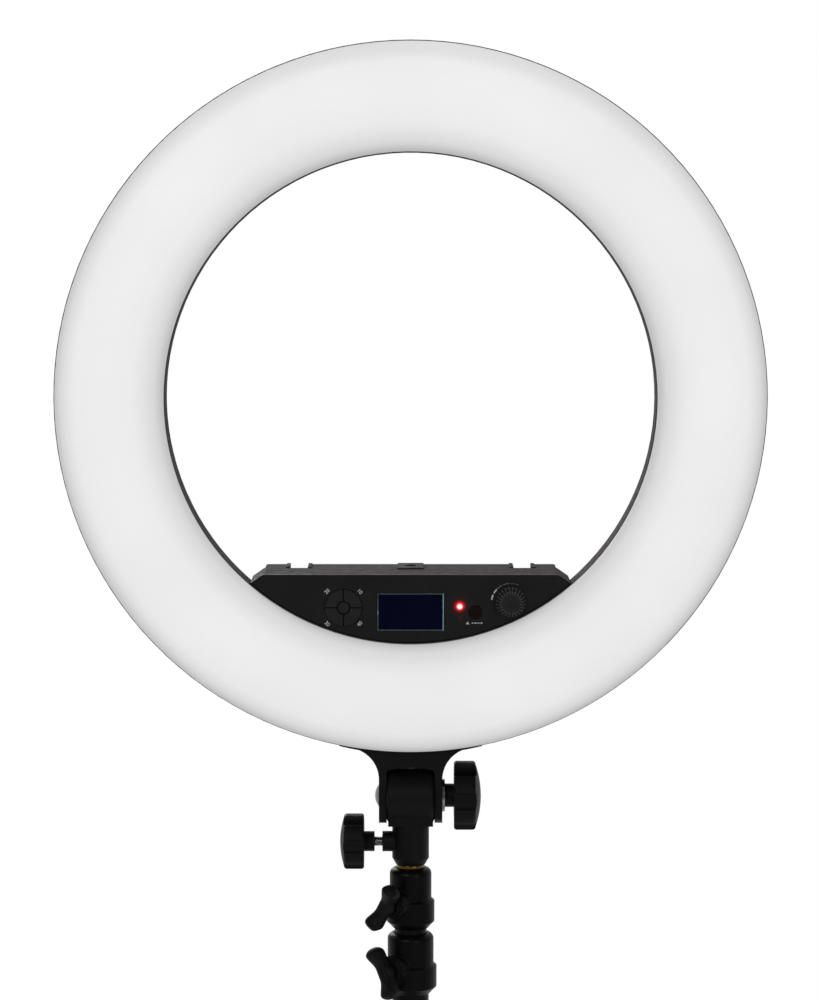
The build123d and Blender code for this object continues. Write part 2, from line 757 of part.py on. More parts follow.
def make_yoke():
    centre = ring_lift + ring_radius
    circle = Pos(0, centre) * Circle(ring_radius)
    rise = ring_radius - math.sqrt(ring_radius**2 - saddle_half**2) + saddle_wall - saddle_tip
    saddle_radius = (saddle_half**2 + rise**2) / (2 * rise)
    saddle_middle = ring_lift - saddle_wall + saddle_radius
    band = Pos(0, saddle_middle) * Circle(saddle_radius) & Rectangle(2 * saddle_half, saddle_middle)
    flare_x = yoke_half + yoke_flare
    flare_top = saddle_middle - math.sqrt(saddle_radius**2 - flare_x**2)
    flare_z = flare_top - yoke_flare
    neck = Rectangle(2 * flare_x, yoke_flare + 2 * saddle_wall, align=(Align.CENTER, Align.MIN))
    neck = Pos(0, flare_z) * neck
    for side in (-1, 1):
        neck -= Pos(side * flare_x, flare_z) * Circle(yoke_flare)
    arms = Pos(0, -arm_end) * Rectangle(
        2 * yoke_half, flare_z + arm_end + 0.01, align=(Align.CENTER, Align.MIN))
    walls = Polyline((-yoke_gap, yoke_spring), (-yoke_gap, -through), (yoke_gap, -through),
                     (yoke_gap, yoke_spring))
    roof = ThreePointArc((yoke_gap, yoke_spring), (0, yoke_arch), (-yoke_gap, yoke_spring))
    opening = make_face(walls + roof)
    opening = fillet(opening.vertices().sort_by(Axis.Y)[-2:], arch_round)
    front = band + neck + arms - opening - circle
    cast = extrude(Plane.XZ * front, yoke_depth / 2, both=True)
    side = Rectangle(yoke_depth, through, align=(Align.CENTER, Align.MIN))
    side += Circle(arm_end) & Rectangle(yoke_depth, through)
    cast &= extrude(Plane.YZ * side, through, both=True)
    cast -= rod(bolt_radius, (-through, 0, 0), (through, 0, 0))
    cast = Pos(0, 0, tilt_height) * cast
    for hole in yoke_screw_shanks(running_gap):
        cast -= on_head(hole)
    for pocket in yoke_screw_heads(*yoke_screw_pocket):
        cast -= on_head(pocket)
    return cast


def make_yoke_screws():
    shanks = list(yoke_screw_shanks(0))
    heads = list(yoke_screw_heads(screw_head_radius, screw_head))
    return Compound([on_head(shank + head) for shank, head in zip(shanks, heads)])


knob_foot = yoke_half + washer_wall
bolt_end = knob_foot + tilt_hub + tilt_knob_depth / 2 - 1.0


def make_tilt_bolt():
    bolt = rod(bolt_radius, (-yoke_half, 0, 0), (bolt_end, 0, 0))
    bulge = (bolt_head_radius**2 + bolt_head**2) / (2 * bolt_head)
    lean = math.asin(bolt_head_radius / bulge) / 2
    middle = (bulge * math.sin(lean), bolt_head - bulge * (1 - math.cos(lean)))
    outline = Polyline((0, bolt_head), (0, 0), (bolt_head_radius, 0))
    outline += ThreePointArc((bolt_head_radius, 0), middle, (0, bolt_head))
    head = turn(make_face(outline))
    return Pos(0, 0, tilt_height) * (bolt + Pos(-yoke_half, 0, 0) * Rot(0, -90, 0) * head)


def make_tilt_washer():
    disc = Circle(washer_radius) - Circle(bolt_radius)
    return Pos(yoke_half, 0, tilt_height) * Rot(0, 90, 0) * extrude(disc, washer_wall)


def make_tilt_knob():
    bore = bolt_radius + running_gap
    head = Pos(0, 0, tilt_hub) * lobed_knob(tilt_knob_radius, tilt_knob_depth, knob_dome, bore)
    hub = rod(tilt_hub_radius, (0, 0, 0), (0, 0, tilt_hub)) - rod(bore, (0, 0, -1), (0, 0, tilt_hub))
    return Pos(knob_foot, 0, tilt_height) * Rot(0, 90, 0) * (head + hub)


# Knuckle: drawn from the tilt axis
def make_knuckle():
    body = rod(barrel_radius, (-barrel_half, 0, 0), (barrel_half, 0, 0))
    body = fillet(body.edges().filter_by(GeomType.CIRCLE), arch_round + part_gap / 2)
    body += Box(2 * block_half, block_depth, block_drop, align=(Align.CENTER, Align.CENTER, Align.MAX))
    socket = turned(
        (0, -block_drop / 2), (socket_radius, -block_drop / 2),
        (socket_radius, -socket_drop + socket_taper), (socket_end_radius, -socket_drop),
        (0, -socket_drop),
    )
    body += socket
    body += rod(lock_boss_radius, (-lock_boss_reach, 0, -lock_drop), (0, 0, -lock_drop))
    body -= rod(bolt_radius + running_gap, (-through, 0, 0), (through, 0, 0))
    stud_top = -socket_drop - part_gap + stud_length
    body -= rod(stud_radius + running_gap, (0, 0, -socket_drop - 1), (0, 0, stud_top + part_gap))
    body -= rod(bolt_radius + running_gap, (-through, 0, -lock_drop), (0, 0, -lock_drop))
    return Pos(0, 0, tilt_height) * body


lock_tip = stud_waist_radius + part_gap
lock_hub_foot = lock_boss_reach + lock_stem


def make_lock_screw():
    reach = lock_hub_foot + lock_hub + lock_knob_depth / 2 - 1.0
    low = tilt_height - lock_drop
    return rod(bolt_radius, (-lock_tip, 0, low), (-reach, 0, low))


def make_lock_knob():
    head = Pos(0, 0, lock_hub) * lobed_knob(
        lock_knob_radius, lock_knob_depth, lock_dome, bolt_radius)
    hub = rod(lock_hub_radius, (0, 0, 0), (0, 0, lock_hub)) - rod(
        bolt_radius, (0, 0, -1), (0, 0, lock_hub))
    return Pos(-lock_hub_foot, 0, tilt_height - lock_drop) * Rot(0, -90, 0) * (head + hub)


# Column
def make_stud():
    foot = stud_flange_foot
    top = stud_flange_top + stud_length
    waist = tilt_height - lock_drop
    return turned(
        (0, foot - stud_root), (top_tube_radius - tube_wall, foot - stud_root),
        (top_tube_radius - tube_wall, foot), (stud_flange_radius, foot),
        (stud_flange_radius, stud_flange_top), (stud_radius, stud_flange_top),
        (stud_radius, waist - stud_waist / 2), (stud_waist_radius, waist - stud_waist / 2 + stud_edge),
        (stud_waist_radius, waist + stud_waist / 2 - stud_edge), (stud_radius, waist + stud_waist / 2),
        (stud_radius, top - stud_edge), (stud_radius - stud_edge, top), (0, top),
    )


def tube(radius, low, high):
    return rod(radius, (0, 0, low), (0, 0, high)) - rod(
        radius - tube_wall, (0, 0, low - 1), (0, 0, high + 1))


def guide(tube_radius, outer_radius, foot):
    """Bush on the lower end of a sliding tube."""
    return turned(
        (0, foot - guide_height), (outer_radius, foot - guide_height), (outer_radius, foot),
        (tube_radius - tube_wall, foot), (tube_radius - tube_wall, foot + guide_insert),
        (0, foot + guide_insert),
    )


def collar_screw_height(top):
    return top - collar_screw_drop


wing_azimuth = -90.0 - wing_side
wing_foot = boss_reach + boss_ridges * boss_ridge + part_gap


def make_collar(top, outer_tube, inner_tube):
    """Clamp collar on the end of one tube, round the next one."""
    body_radius = outer_tube + collar_wall
    band_radius = outer_tube + band_wall
    neck = inner_tube + part_gap
    seat = top - collar_rise
    foot = top - collar_height
    shoulder = body_radius - neck - collar_lip
    outline = Polyline(
        (body_radius, top - shoulder), (body_radius, top - band_top + band_ramp),
        (band_radius, top - band_top), (band_radius, top - band_bottom),
        (band_radius - band_ramp, top - band_bottom - band_ramp),
        (outer_tube + collar_foot_wall, foot), (outer_tube, foot), (outer_tube, seat), (neck, seat),
        (neck, top), (neck + collar_lip, top),
    )
    outline += CenterArc((neck + collar_lip, top - shoulder), shoulder, 0, 90)
    collar = turn(make_face(outline))
    face = facing(wing_azimuth, collar_screw_height(top))
    boss = rod(collar_boss_radius, (0, 0, outer_tube), (0, 0, boss_reach))
    for step in range(1, boss_ridges + 1):
        boss += rod(collar_boss_radius - boss_step * step, (0, 0, boss_reach),
                    (0, 0, boss_reach + boss_ridge * step))
    boss = face * boss
    collar += boss - rod(outer_tube, (0, 0, foot - through), (0, 0, top + through))
    collar -= face * rod(wing_screw_radius + running_gap, (0, 0, 0), (0, 0, through))
    return collar


def make_outer_tube(radius, low, high, screw_height):
    """Tube with the hole that its clamp screw passes through."""
    hole = facing(wing_azimuth, screw_height) * rod(
        wing_screw_radius + running_gap, (0, 0, 0), (0, 0, through))
    return tube(radius, low, high) - hole


def wing_knob(azimuth, height, tip, foot, roll):
    """Wing knob with its screw: tip and foot are distances from the column's axis."""
    half = wing_span
    deep = wing_reach
    outline = Polyline(
        (0, 0), (wing_hub_radius - 0.4, 0), (wing_hub_radius + 1.6, deep * 0.22),
        (half * 0.86, deep * 0.42), (half, deep * 0.76), (half * 0.86, deep),
        (half * 0.42, deep * 0.72), (half * 0.2, deep * 0.6), (0, deep * 0.58),
    )
    right = make_face(outline + Line(outline @ 1, outline @ 0))
    wing = right + mirror(right, Plane.YZ)
    tips = [v for v in wing.vertices() if abs(v.X) > half * 0.8]
    wing = fillet(tips, wing_tip)
    body = extrude(Plane.XZ * wing, wing_wall / 2, both=True)
    body += rod(wing_hub_radius, (0, 0, 0), (0, 0, deep * 0.5))
    body = Pos(0, 0, foot) * Rot(0, 0, 90 + roll) * body
    body += rod(wing_screw_radius, (0, 0, tip), (0, 0, foot + 2))
    return facing(azimuth, height) * body


# Legs: drawn on the +X side and turned about the column
def leg_point(reach):
    """Point on the axis of the spread leg, at a distance from its pin."""
    return Vector(pin_reach + reach * open_sin, 0, leg_pin_height - reach * open_cos)


def turned_to(azimuth, piece):
    return Rot(0, 0, azimuth) * piece


def make_leg():
    leg = rod(leg_radius, leg_point(0), leg_point(leg_length)) + Pos(leg_point(0)) * Sphere(leg_radius)
    leg -= rod(leg_radius - tube_wall, leg_point(leg_plug), leg_point(leg_length + 1))
    x, height = leg_point(0).X, leg_point(0).Z
    return leg - rod(pin_radius + running_gap, (x, -through, height), (x, through, height))


def make_foot():
    foot = rod(foot_radius, leg_point(leg_length - foot_sleeve), leg_point(leg_length + foot_sole))
    foot = fillet(foot.edges().sort_by(Axis.X)[:1], foot_edge)
    foot -= rod(leg_radius, leg_point(leg_length - foot_sleeve - 1), leg_point(leg_length))
    below = Box(4 * leg_length, through, through, align=(Align.CENTER, Align.CENTER, Align.MAX))
    return foot - below


strut_side = leg_radius + strut_gap


def make_strut():
    """Pair of flat bars, one on each side of the leg."""
    start = Vector(pin_reach, 0, hub_pin_height)
    run = leg_point(strut_on_leg) - start
    bars = []
    for side in (-1, 1):
        face = Plane(origin=(start.X, side * strut_side, start.Z), x_dir=run, z_dir=(0, side, 0))
        flat = Pos(run.length / 2, 0) * SlotCenterToCenter(run.length, strut_width)
        flat -= Circle(pin_radius) + Pos(run.length, 0) * Circle(pin_radius)
        bars.append(face * extrude(flat, strut_wall))
    return Compound(bars + make_strut_pins())


def make_strut_pins():
    """Pin through the hub's lug, and a rivet in the far end of each bar."""
    outside = strut_side + strut_wall
    x, height = pin_reach, hub_pin_height
    through = rod(pin_radius, (x, -outside, height), (x, outside, height))
    end = leg_point(strut_on_leg)
    pins = []
    for side in (-1, 1):
        cap = side * (outside + pin_head)
        through += rod(pin_head_radius, (x, side * outside, height), (x, cap, height))
        rivet = rod(pin_radius, (end.X, side * strut_side, end.Z), (end.X, side * outside, end.Z))
        rivet += rod(pin_head_radius, (end.X, side * outside, end.Z), (end.X, cap, end.Z))
        pins.append(rivet)
    return [through] + pins


def make_lower_hub():
    top = base_tube_foot + hub_height
    hub = rod(base_tube_radius + hub_wall, (0, 0, base_tube_foot), (0, 0, top))
    hub = fillet(hub.edges().filter_by(GeomType.CIRCLE).sort_by(Axis.Z)[-1:], hub_edge)
    for azimuth in leg_azimuths:
        lug = Rectangle(pin_reach, 2 * hub_lug_radius, align=(Align.MIN, Align.CENTER))
        lug += Pos(pin_reach, 0) * Circle(hub_lug_radius)
        lug -= Pos(pin_reach, 0) * Circle(pin_radius + running_gap)
        solid = extrude(Plane.XZ * lug, leg_radius, both=True)
        hub += turned_to(azimuth, Pos(0, 0, hub_pin_height) * solid)
    return hub - rod(base_tube_radius, (0, 0, 0), (0, 0, top + 1))


def make_end_plug():
    foot = base_tube_foot
    inner = base_tube_radius - tube_wall
    return turned(
        (0, foot - plug_wall), (plug_radius - 1, foot - plug_wall), (plug_radius, foot - plug_wall + 1),
        (plug_radius, foot), (inner, foot), (inner, foot + plug_insert), (0, foot + plug_insert),
    )


def make_leg_collar():
    """Sliding collar with a pair of ears for each leg and a boss for its clamp screw."""
    low = leg_pin_height - leg_collar_below
    high = leg_pin_height + leg_collar_above
    collar = rod(leg_collar_radius, (0, 0, low), (0, 0, high))
    collar = fillet(collar.edges().filter_by(GeomType.CIRCLE), hub_edge)
    inside = leg_radius + part_gap
    for azimuth in leg_azimuths:
        for side in (-1, 1):
            ear = Rectangle(pin_reach, 2 * ear_reach, align=(Align.MIN, Align.CENTER))
            ear += Pos(pin_reach, 0) * Circle(ear_reach)
            ear -= Pos(pin_reach, 0) * Circle(pin_radius)
            solid = Plane(origin=(0, side * inside, leg_pin_height), x_dir=(1, 0, 0),
                          z_dir=(0, side, 0)) * extrude(ear, ear_wall)
            collar += turned_to(azimuth, solid)
    face = facing(90.0, leg_pin_height + collar_knob_lift)
    boss, reach = collar_knob_boss
    collar += face * rod(boss, (0, 0, 0), (0, 0, leg_collar_radius + reach))
    collar -= rod(base_tube_radius + part_gap, (0, 0, low - 1), (0, 0, high + 1))
    collar -= face * rod(wing_screw_radius + running_gap, (0, 0, 0), (0, 0, through))
    return collar


def make_leg_pins():
    outside = leg_radius + part_gap + ear_wall
    pins = []
    for azimuth in leg_azimuths:
        pin = rod(pin_radius, (pin_reach, -outside, leg_pin_height), (pin_reach, outside, leg_pin_height))
        for side in (-1, 1):
            start = (pin_reach, side * outside, leg_pin_height)
            pin += rod(pin_head_radius, start, (pin_reach, side * (outside + pin_head), leg_pin_height))
        pins.append(turned_to(azimuth, pin))
    return Compound(pins)


# All pieces by name
pieces = {
    "rear_housing": on_head(make_rear_housing()),
    "diffuser": on_head(make_diffuser()),
    "led_board": on_head(make_led_board()),
    "ring_screws": on_head(make_ring_screws()),
    "control_box": on_head(make_control_box()),
    "fascia": on_head(make_fascia()),
    "screen_lens": on_head(make_screen_lens()),
    "screen_module": on_head(make_screen_module()),
    "control_board": on_head(make_control_board()),
    "centre_key": on_head(push_key(keypad_at, centre_key_radius)),
    "power_button": on_head(push_key(button_at, button_radius)),
    "indicator_light": on_head(make_indicator()),
    "remote_sensor": on_head(make_sensor()),
    "dial": on_head(make_dial()),
    "dial_encoder": on_head(make_encoder()),
    "battery_plates": on_head(Compound([make_battery_plate(place) for place in battery_places()])),
    "accessory_plate": on_head(make_accessory_plate()),
    "thread_insert": on_head(make_thread_insert()),
    "power_inlet": on_head(make_power_inlet()),
    "switch_frame": on_head(make_switch_frame()),
    "power_rocker": on_head(make_rocker()),
    "yoke": make_yoke(),
    "yoke_screws": make_yoke_screws(),
    "tilt_bolt": make_tilt_bolt(),
    "tilt_washer": make_tilt_washer(),
    "tilt_knob": make_tilt_knob(),
    "knuckle": make_knuckle(),
    "lock_screw": make_lock_screw(),
    "lock_knob": make_lock_knob(),
    "stud": make_stud(),
    "top_tube": tube(top_tube_radius, top_tube_foot, stud_flange_foot),
    "top_tube_guide": guide(top_tube_radius, middle_tube_radius - tube_wall - running_gap, top_tube_foot),
    "middle_tube_guide": guide(
        middle_tube_radius, base_tube_radius - tube_wall - running_gap, middle_tube_foot),
    "middle_tube": make_outer_tube(
        middle_tube_radius, middle_tube_foot, upper_collar_top - collar_rise,
        collar_screw_height(upper_collar_top)),
    "base_tube": make_outer_tube(
        base_tube_radius, base_tube_foot, lower_collar_top - collar_rise,
        collar_screw_height(lower_collar_top)),
    "upper_collar": make_collar(upper_collar_top, middle_tube_radius, top_tube_radius),
    "lower_collar": make_collar(lower_collar_top, base_tube_radius, middle_tube_radius),
    "upper_wing_knob": wing_knob(
        wing_azimuth, collar_screw_height(upper_collar_top), top_tube_radius + part_gap,
        wing_foot, upper_wing_roll),
    "lower_wing_knob": wing_knob(
        wing_azimuth, collar_screw_height(lower_collar_top), middle_tube_radius + part_gap,
        wing_foot, lower_wing_roll),
    "lower_hub": make_lower_hub(),
    "end_plug": make_end_plug(),
    "leg_collar": make_leg_collar(),
    "leg_pins": make_leg_pins(),
    "leg_collar_knob": wing_knob(
        90.0, leg_pin_height + collar_knob_lift, base_tube_radius + part_gap,
        leg_collar_radius + collar_knob_boss[1] + part_gap, 90.0),
}
for i, place in enumerate(latch_places()):
    pieces[f"battery_release_{i + 1}"] = on_head(make_latch(place))
for i in range(4):
    pieces[f"quadrant_key_{i + 1}"] = on_head(make_quadrant_key(i))
for i, azimuth in enumerate(leg_azimuths):
    pieces[f"leg_{i + 1}"] = turned_to(azimuth, make_leg())
    pieces[f"foot_{i + 1}"] = turned_to(azimuth, make_foot())
    pieces[f"strut_{i + 1}"] = turned_to(azimuth, make_strut())

# The footprint's middle goes to the origin
boxes = [piece.bounding_box() for piece in pieces.values()]
middle_x = (min(b.min.X for b in boxes) + max(b.max.X for b in boxes)) / 2
middle_y = (min(b.min.Y for b in boxes) + max(b.max.Y for b in boxes)) / 2
floor = min(b.min.Z for b in boxes)

os.makedirs("parts", exist_ok=True)
for name, piece in pieces.items():
    export_step(Pos(-middle_x, -middle_y, -floor) * piece, f"parts/{name}.step")

print("column at", round(-middle_x, 4), round(-middle_y, 4), "floor moved by", round(-floor, 4))
print("tilt axis", round(tilt_height, 3), "ring centre", round(ring_height, 3))
print("leg pins", round(leg_pin_height, 3), "raised", round(leg_pin_raised, 3))
print("strut on leg", round(strut_on_leg, 3), "strut length", round(strut_length, 3))
print("strut open", round(strut_open, 3), "shut", round(strut_shut, 3))
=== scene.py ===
import json
import math

import bmesh
import bpy
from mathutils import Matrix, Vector


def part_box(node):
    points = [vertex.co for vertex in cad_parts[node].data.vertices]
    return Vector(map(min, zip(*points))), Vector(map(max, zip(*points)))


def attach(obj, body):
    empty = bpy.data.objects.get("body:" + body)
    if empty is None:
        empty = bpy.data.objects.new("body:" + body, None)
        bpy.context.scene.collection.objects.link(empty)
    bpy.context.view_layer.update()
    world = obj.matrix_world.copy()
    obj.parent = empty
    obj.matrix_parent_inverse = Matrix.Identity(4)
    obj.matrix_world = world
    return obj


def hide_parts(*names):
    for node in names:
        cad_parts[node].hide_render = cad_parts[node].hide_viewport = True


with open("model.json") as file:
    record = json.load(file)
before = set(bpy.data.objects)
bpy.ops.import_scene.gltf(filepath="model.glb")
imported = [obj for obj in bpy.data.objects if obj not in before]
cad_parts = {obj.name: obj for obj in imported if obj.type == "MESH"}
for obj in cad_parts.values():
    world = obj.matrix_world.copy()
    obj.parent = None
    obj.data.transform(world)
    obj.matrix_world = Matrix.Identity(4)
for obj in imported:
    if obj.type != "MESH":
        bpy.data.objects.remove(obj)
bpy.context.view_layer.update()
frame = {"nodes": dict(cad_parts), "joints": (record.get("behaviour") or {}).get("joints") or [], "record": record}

# The looks of the LED ring light. Everything is in metres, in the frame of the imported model:
# +Z up, the lit face looks along -Y. Sizes of small pieces are given in millimetres.
MM = 0.001
NODES = frame["nodes"]
JOINTS = {joint["name"]: joint for joint in frame["joints"]}
SLOTS = {part["node"]: part["material_slot"] for part in frame["record"]["subparts"]}

# Places that the details are set out from
housing_low, housing_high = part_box("rear_housing")
RING_CENTRE = (housing_low + housing_high) / 2
RING_RADIUS = (housing_high.x - housing_low.x) / 2
RING_FRONT = housing_low.y
OPENING_RADIUS = 165.4 * MM
COLUMN = Vector(JOINTS["head_swivel"]["pos_m"])
UP = Vector((0.0, 0.0, 1.0))
OUT = Vector((0.0, -1.0, 0.0))      # out of the lit face


def middle(name):
    """Middle of a node's box."""
    low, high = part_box(name)
    return (low + high) / 2


INDICATOR = middle("indicator_light")

# Camera, from the size of the ring, the slope of the stand and the top of the box in the photo
PHOTO_HEIGHT = 1000
CAMERA_DISTANCE = 2.0
CAMERA_ABOVE_RING = 0.1335
CAMERA_PITCH = math.radians(4.977)
FOCAL_PIXELS = 2982.6
SENSOR = 36.0
MIDDLE_X_PIXELS = 1.6
MIDDLE_Y_PIXELS = -40.0

# Materials
BLACK = (0.0, 0.0, 0.0)
NOISE_LOW, NOISE_HIGH = 0.3, 0.7    # most values of a noise lie between these
EDGE_LEAN = (0.82, 0.99)            # cosines of a softened normal's lean: on an edge, and off it
ROUGHNESS_SPREAD = 0.12
EDGE_WEAR_AND_SHEEN_LIGHTER = 2.6                  # how much lighter an edge gets, as wear and painted sheen, where no edge colour is given
BUMP_DEPTH = 0.05 * MM


def node_tree(name):
    """New material with a plain shader, its node tree and that shader."""
    made = bpy.data.materials.new(name)
    made.use_nodes = True
    tree = made.node_tree
    return made, tree, tree.nodes["Principled BSDF"]


def link(tree, start, end):
    """Joins an output to an input."""
    tree.links.new(start, end)


def feed(tree, value, socket):
    """Gives an input its value: an output to link to it, or a constant."""
    if isinstance(value, bpy.types.NodeSocket):
        link(tree, value, socket)
    else:
        socket.default_value = value


def math_node(tree, operation, first, second=None):
    """Result of a calculation on one or two numbers."""
    node = tree.nodes.new("ShaderNodeMath")
    node.operation = operation
    link(tree, first, node.inputs[0])
    if second is not None:
        feed(tree, second, node.inputs[1])
    return node.outputs["Value"]


def vector_node(tree, operation, first, second=None):
    """Result of a calculation on one or two vectors: a number for a length or a dot product."""
    node = tree.nodes.new("ShaderNodeVectorMath")
    node.operation = operation
    link(tree, first, node.inputs[0])
    if second is not None:
        feed(tree, second, node.inputs[1])
    return node.outputs["Value" if operation in ("LENGTH", "DOT_PRODUCT") else "Vector"]


def object_place(tree):
    """Place on the surface in the object's own coordinates."""
    return tree.nodes.new("ShaderNodeTexCoord").outputs["Object"]


def object_noise(tree, size, detail=3.0, stretch=None):
    """Noise in the object's own coordinates, with a feature size in metres."""
    place = object_place(tree)
    if stretch:
        place = vector_node(tree, "MULTIPLY", place, stretch)
    noise = tree.nodes.new("ShaderNodeTexNoise")
    noise.inputs["Scale"].default_value = 1.0 / size
    noise.inputs["Detail"].default_value = detail
    link(tree, place, noise.inputs["Vector"])
    return noise.outputs["Fac"]


def spread(tree, value, low, high, low_in=NOISE_LOW, high_in=NOISE_HIGH):
    """Maps a value from one range to another and keeps it there."""
    node = tree.nodes.new("ShaderNodeMapRange")
    node.inputs["From Min"].default_value = low_in
    node.inputs["From Max"].default_value = high_in
    node.inputs["To Min"].default_value = low
    node.inputs["To Max"].default_value = high
    link(tree, value, node.inputs["Value"])
    return node.outputs["Result"]


def mixed(tree, share, first, second):
    """Colour between two others; each is a socket or a tuple."""
    node = tree.nodes.new("ShaderNodeMix")
    node.data_type = "RGBA"
    link(tree, share, node.inputs["Factor"])
    for name, value in (("A", first), ("B", second)):
        socket = next(s for s in node.inputs if s.name == name and s.type == "RGBA")
        feed(tree, (*value, 1.0) if isinstance(value, tuple) else value, socket)
    return next(s for s in node.outputs if s.type == "RGBA")


def scaled_colour(colour, factor):
    """Lighter or darker colour, no channel past white."""
    return tuple(min(1.0, channel * factor) for channel in colour)


def edge_mask(tree, radius):
    """Softened normal, and white along the edges, from how far that normal leans from the real one."""
    bevel = tree.nodes.new("ShaderNodeBevel")
    bevel.samples = 4
    bevel.inputs["Radius"].default_value = radius
    geometry = tree.nodes.new("ShaderNodeNewGeometry")
    softened = bevel.outputs["Normal"]
    lean = vector_node(tree, "DOT_PRODUCT", softened, geometry.outputs["Normal"])
    return softened, spread(tree, lean, 1.0, 0.0, *EDGE_LEAN)


def surface(name, colour, roughness, metallic=0.0, specular=0.5, grain=0.0, grain_size=0.5,
            mottle=0.12, mottle_size=20.0, rounding=0.4, wear_and_sheen=0.25, wear_and_sheen_colour=None, stretch=None):
    """Material with colour variation, grain, softened edges, and edges lightened partly as light wear and partly
    as painted sheen.

    grain_size, mottle_size and rounding are in millimetres."""
    made, tree, shader = node_tree(name)
    shader.inputs["Metallic"].default_value = metallic
    shader.inputs["Specular IOR Level"].default_value = specular
    patches = object_noise(tree, mottle_size * MM, detail=4.0, stretch=stretch)
    dark = scaled_colour(colour, 1.0 - mottle)
    light = scaled_colour(colour, 1.0 + mottle)
    tone = mixed(tree, spread(tree, patches, 0.0, 1.0), dark, light)
    normal, edges = edge_mask(tree, rounding * MM)
    # Lighter edges: partly light wear, partly painted sheen where light catches them
    edge_wear_and_sheen = wear_and_sheen_colour or scaled_colour(colour, EDGE_WEAR_AND_SHEEN_LIGHTER)
    with_wear_and_sheen = mixed(tree, spread(tree, edges, 0.0, wear_and_sheen, 0.0, 1.0), tone, edge_wear_and_sheen)
    link(tree, with_wear_and_sheen, shader.inputs["Base Color"])
    small_patches = object_noise(tree, mottle_size * MM / 4, stretch=stretch)
    rough = spread(tree, small_patches, roughness * (1.0 - ROUGHNESS_SPREAD),
                   min(1.0, roughness * (1.0 + ROUGHNESS_SPREAD)))
    link(tree, rough, shader.inputs["Roughness"])
    bump = tree.nodes.new("ShaderNodeBump")
    bump.inputs["Strength"].default_value = grain
    bump.inputs["Distance"].default_value = BUMP_DEPTH
    grains = object_noise(tree, grain_size * MM, detail=2.0, stretch=stretch)
    link(tree, grains, bump.inputs["Height"])
    link(tree, normal, bump.inputs["Normal"])
    link(tree, bump.outputs["Normal"], shader.inputs["Normal"])
    return made


def face_distance(tree, centre):
    """Distance on the lit face from a point, whatever the depth, in metres."""
    shift = vector_node(tree, "SUBTRACT", object_place(tree), centre)
    flat = vector_node(tree, "MULTIPLY", shift, (1.0, 0.0, 1.0))
    return vector_node(tree, "LENGTH", flat)


def ramp(tree, value, stops):
    """Smooth colour ramp; each stop is a place from 0 to 1 and a colour."""
    node = tree.nodes.new("ShaderNodeValToRGB")
    band = node.color_ramp
    band.interpolation = "B_SPLINE"
    while len(band.elements) < len(stops):
        band.elements.new(0.5)
    for element, (place, colour) in zip(band.elements, stops):
        element.position = place
        element.color = (*colour, 1.0)
    link(tree, value, node.inputs["Fac"])
    return node.outputs["Color"]


def lit_diffuser(name):
    """Milky cover with the light of the board behind it: its glow is darker towards both edges, partly the light
    falling off there and partly painted shade of the rounded edges.
    """
    made, tree, shader = node_tree(name)
    across = spread(tree, face_distance(tree, RING_CENTRE), 0.0, 1.0, OPENING_RADIUS, RING_RADIUS)
    # Glow across the ring: the darker edge tones are partly the board's light falling off and partly painted shade
    # of the rounded edges
    edge_falloff_and_shade = (0.335, 0.325, 0.33)
    slope = (0.42, 0.415, 0.415)
    full = (0.60, 0.60, 0.60)
    glow = ramp(tree, across, [(0.0, edge_falloff_and_shade), (0.08, slope), (0.27, full),
                               (0.80, full), (0.93, slope), (1.0, edge_falloff_and_shade)])
    uneven = spread(tree, object_noise(tree, 90 * MM, detail=2.0), 0.97, 1.03)
    link(tree, glow, shader.inputs["Emission Color"])
    link(tree, uneven, shader.inputs["Emission Strength"])
    haze = spread(tree, object_noise(tree, 0.6 * MM, detail=2.0), 0.0, 1.0)
    link(tree, mixed(tree, haze, (0.25, 0.25, 0.25), (0.27, 0.27, 0.27)), shader.inputs["Base Color"])
    shader.inputs["Roughness"].default_value = 0.5
    shader.inputs["Specular IOR Level"].default_value = 0.02
    return made


def red_halo(tree, inner, outer, power):
    """1 up to a distance from the indicator's middle and 0 beyond another, falling off as light does."""
    near = spread(tree, face_distance(tree, INDICATOR), 1.0, 0.0, inner, outer)
    return math_node(tree, "POWER", near, power)


def fascia_sheet(name):
    """Satin black sheet, with the indicator's red glow painted on it as emission."""
    made = surface(name, (0.0058, 0.0054, 0.0056), 0.45, specular=0.10, grain=0.2, grain_size=0.5,
                   rounding=0.15, wear_and_sheen=0.0)
    tree = made.node_tree
    shader = tree.nodes["Principled BSDF"]
    # Painted glow: a wide faint red halo and a strong close one round the indicator, as emission
    painted_glow_wide_share = red_halo(tree, inner=2.0 * MM, outer=13 * MM, power=3.0)
    painted_glow_wide = mixed(tree, painted_glow_wide_share, BLACK, (0.030, 0.0, 0.0012))
    painted_glow_close_share = red_halo(tree, inner=2.5 * MM, outer=4.6 * MM, power=2.0)
    link(tree, mixed(tree, painted_glow_close_share, painted_glow_wide, (0.85, 0.0, 0.006)), shader.inputs["Emission Color"])
    shader.inputs["Emission Strength"].default_value = 1.0
    return made


def lit_indicator(name):
    """Red lamp, white hot in the middle."""
    made, tree, shader = node_tree(name)
    heart = red_halo(tree, inner=1.5 * MM, outer=2.3 * MM, power=1.5)
    glow = mixed(tree, heart, (0.80, 0.0, 0.01), (1.0, 0.93, 0.88))
    link(tree, glow, shader.inputs["Emission Color"])
    shader.inputs["Emission Strength"].default_value = 1.0
    haze = spread(tree, object_noise(tree, 0.8 * MM, detail=2.0), 0.0, 1.0)
    plastic = mixed(tree, haze, (0.10, 0.002, 0.002), (0.12, 0.003, 0.003))
    link(tree, plastic, shader.inputs["Base Color"])
    shader.inputs["Roughness"].default_value = 0.3
    return made


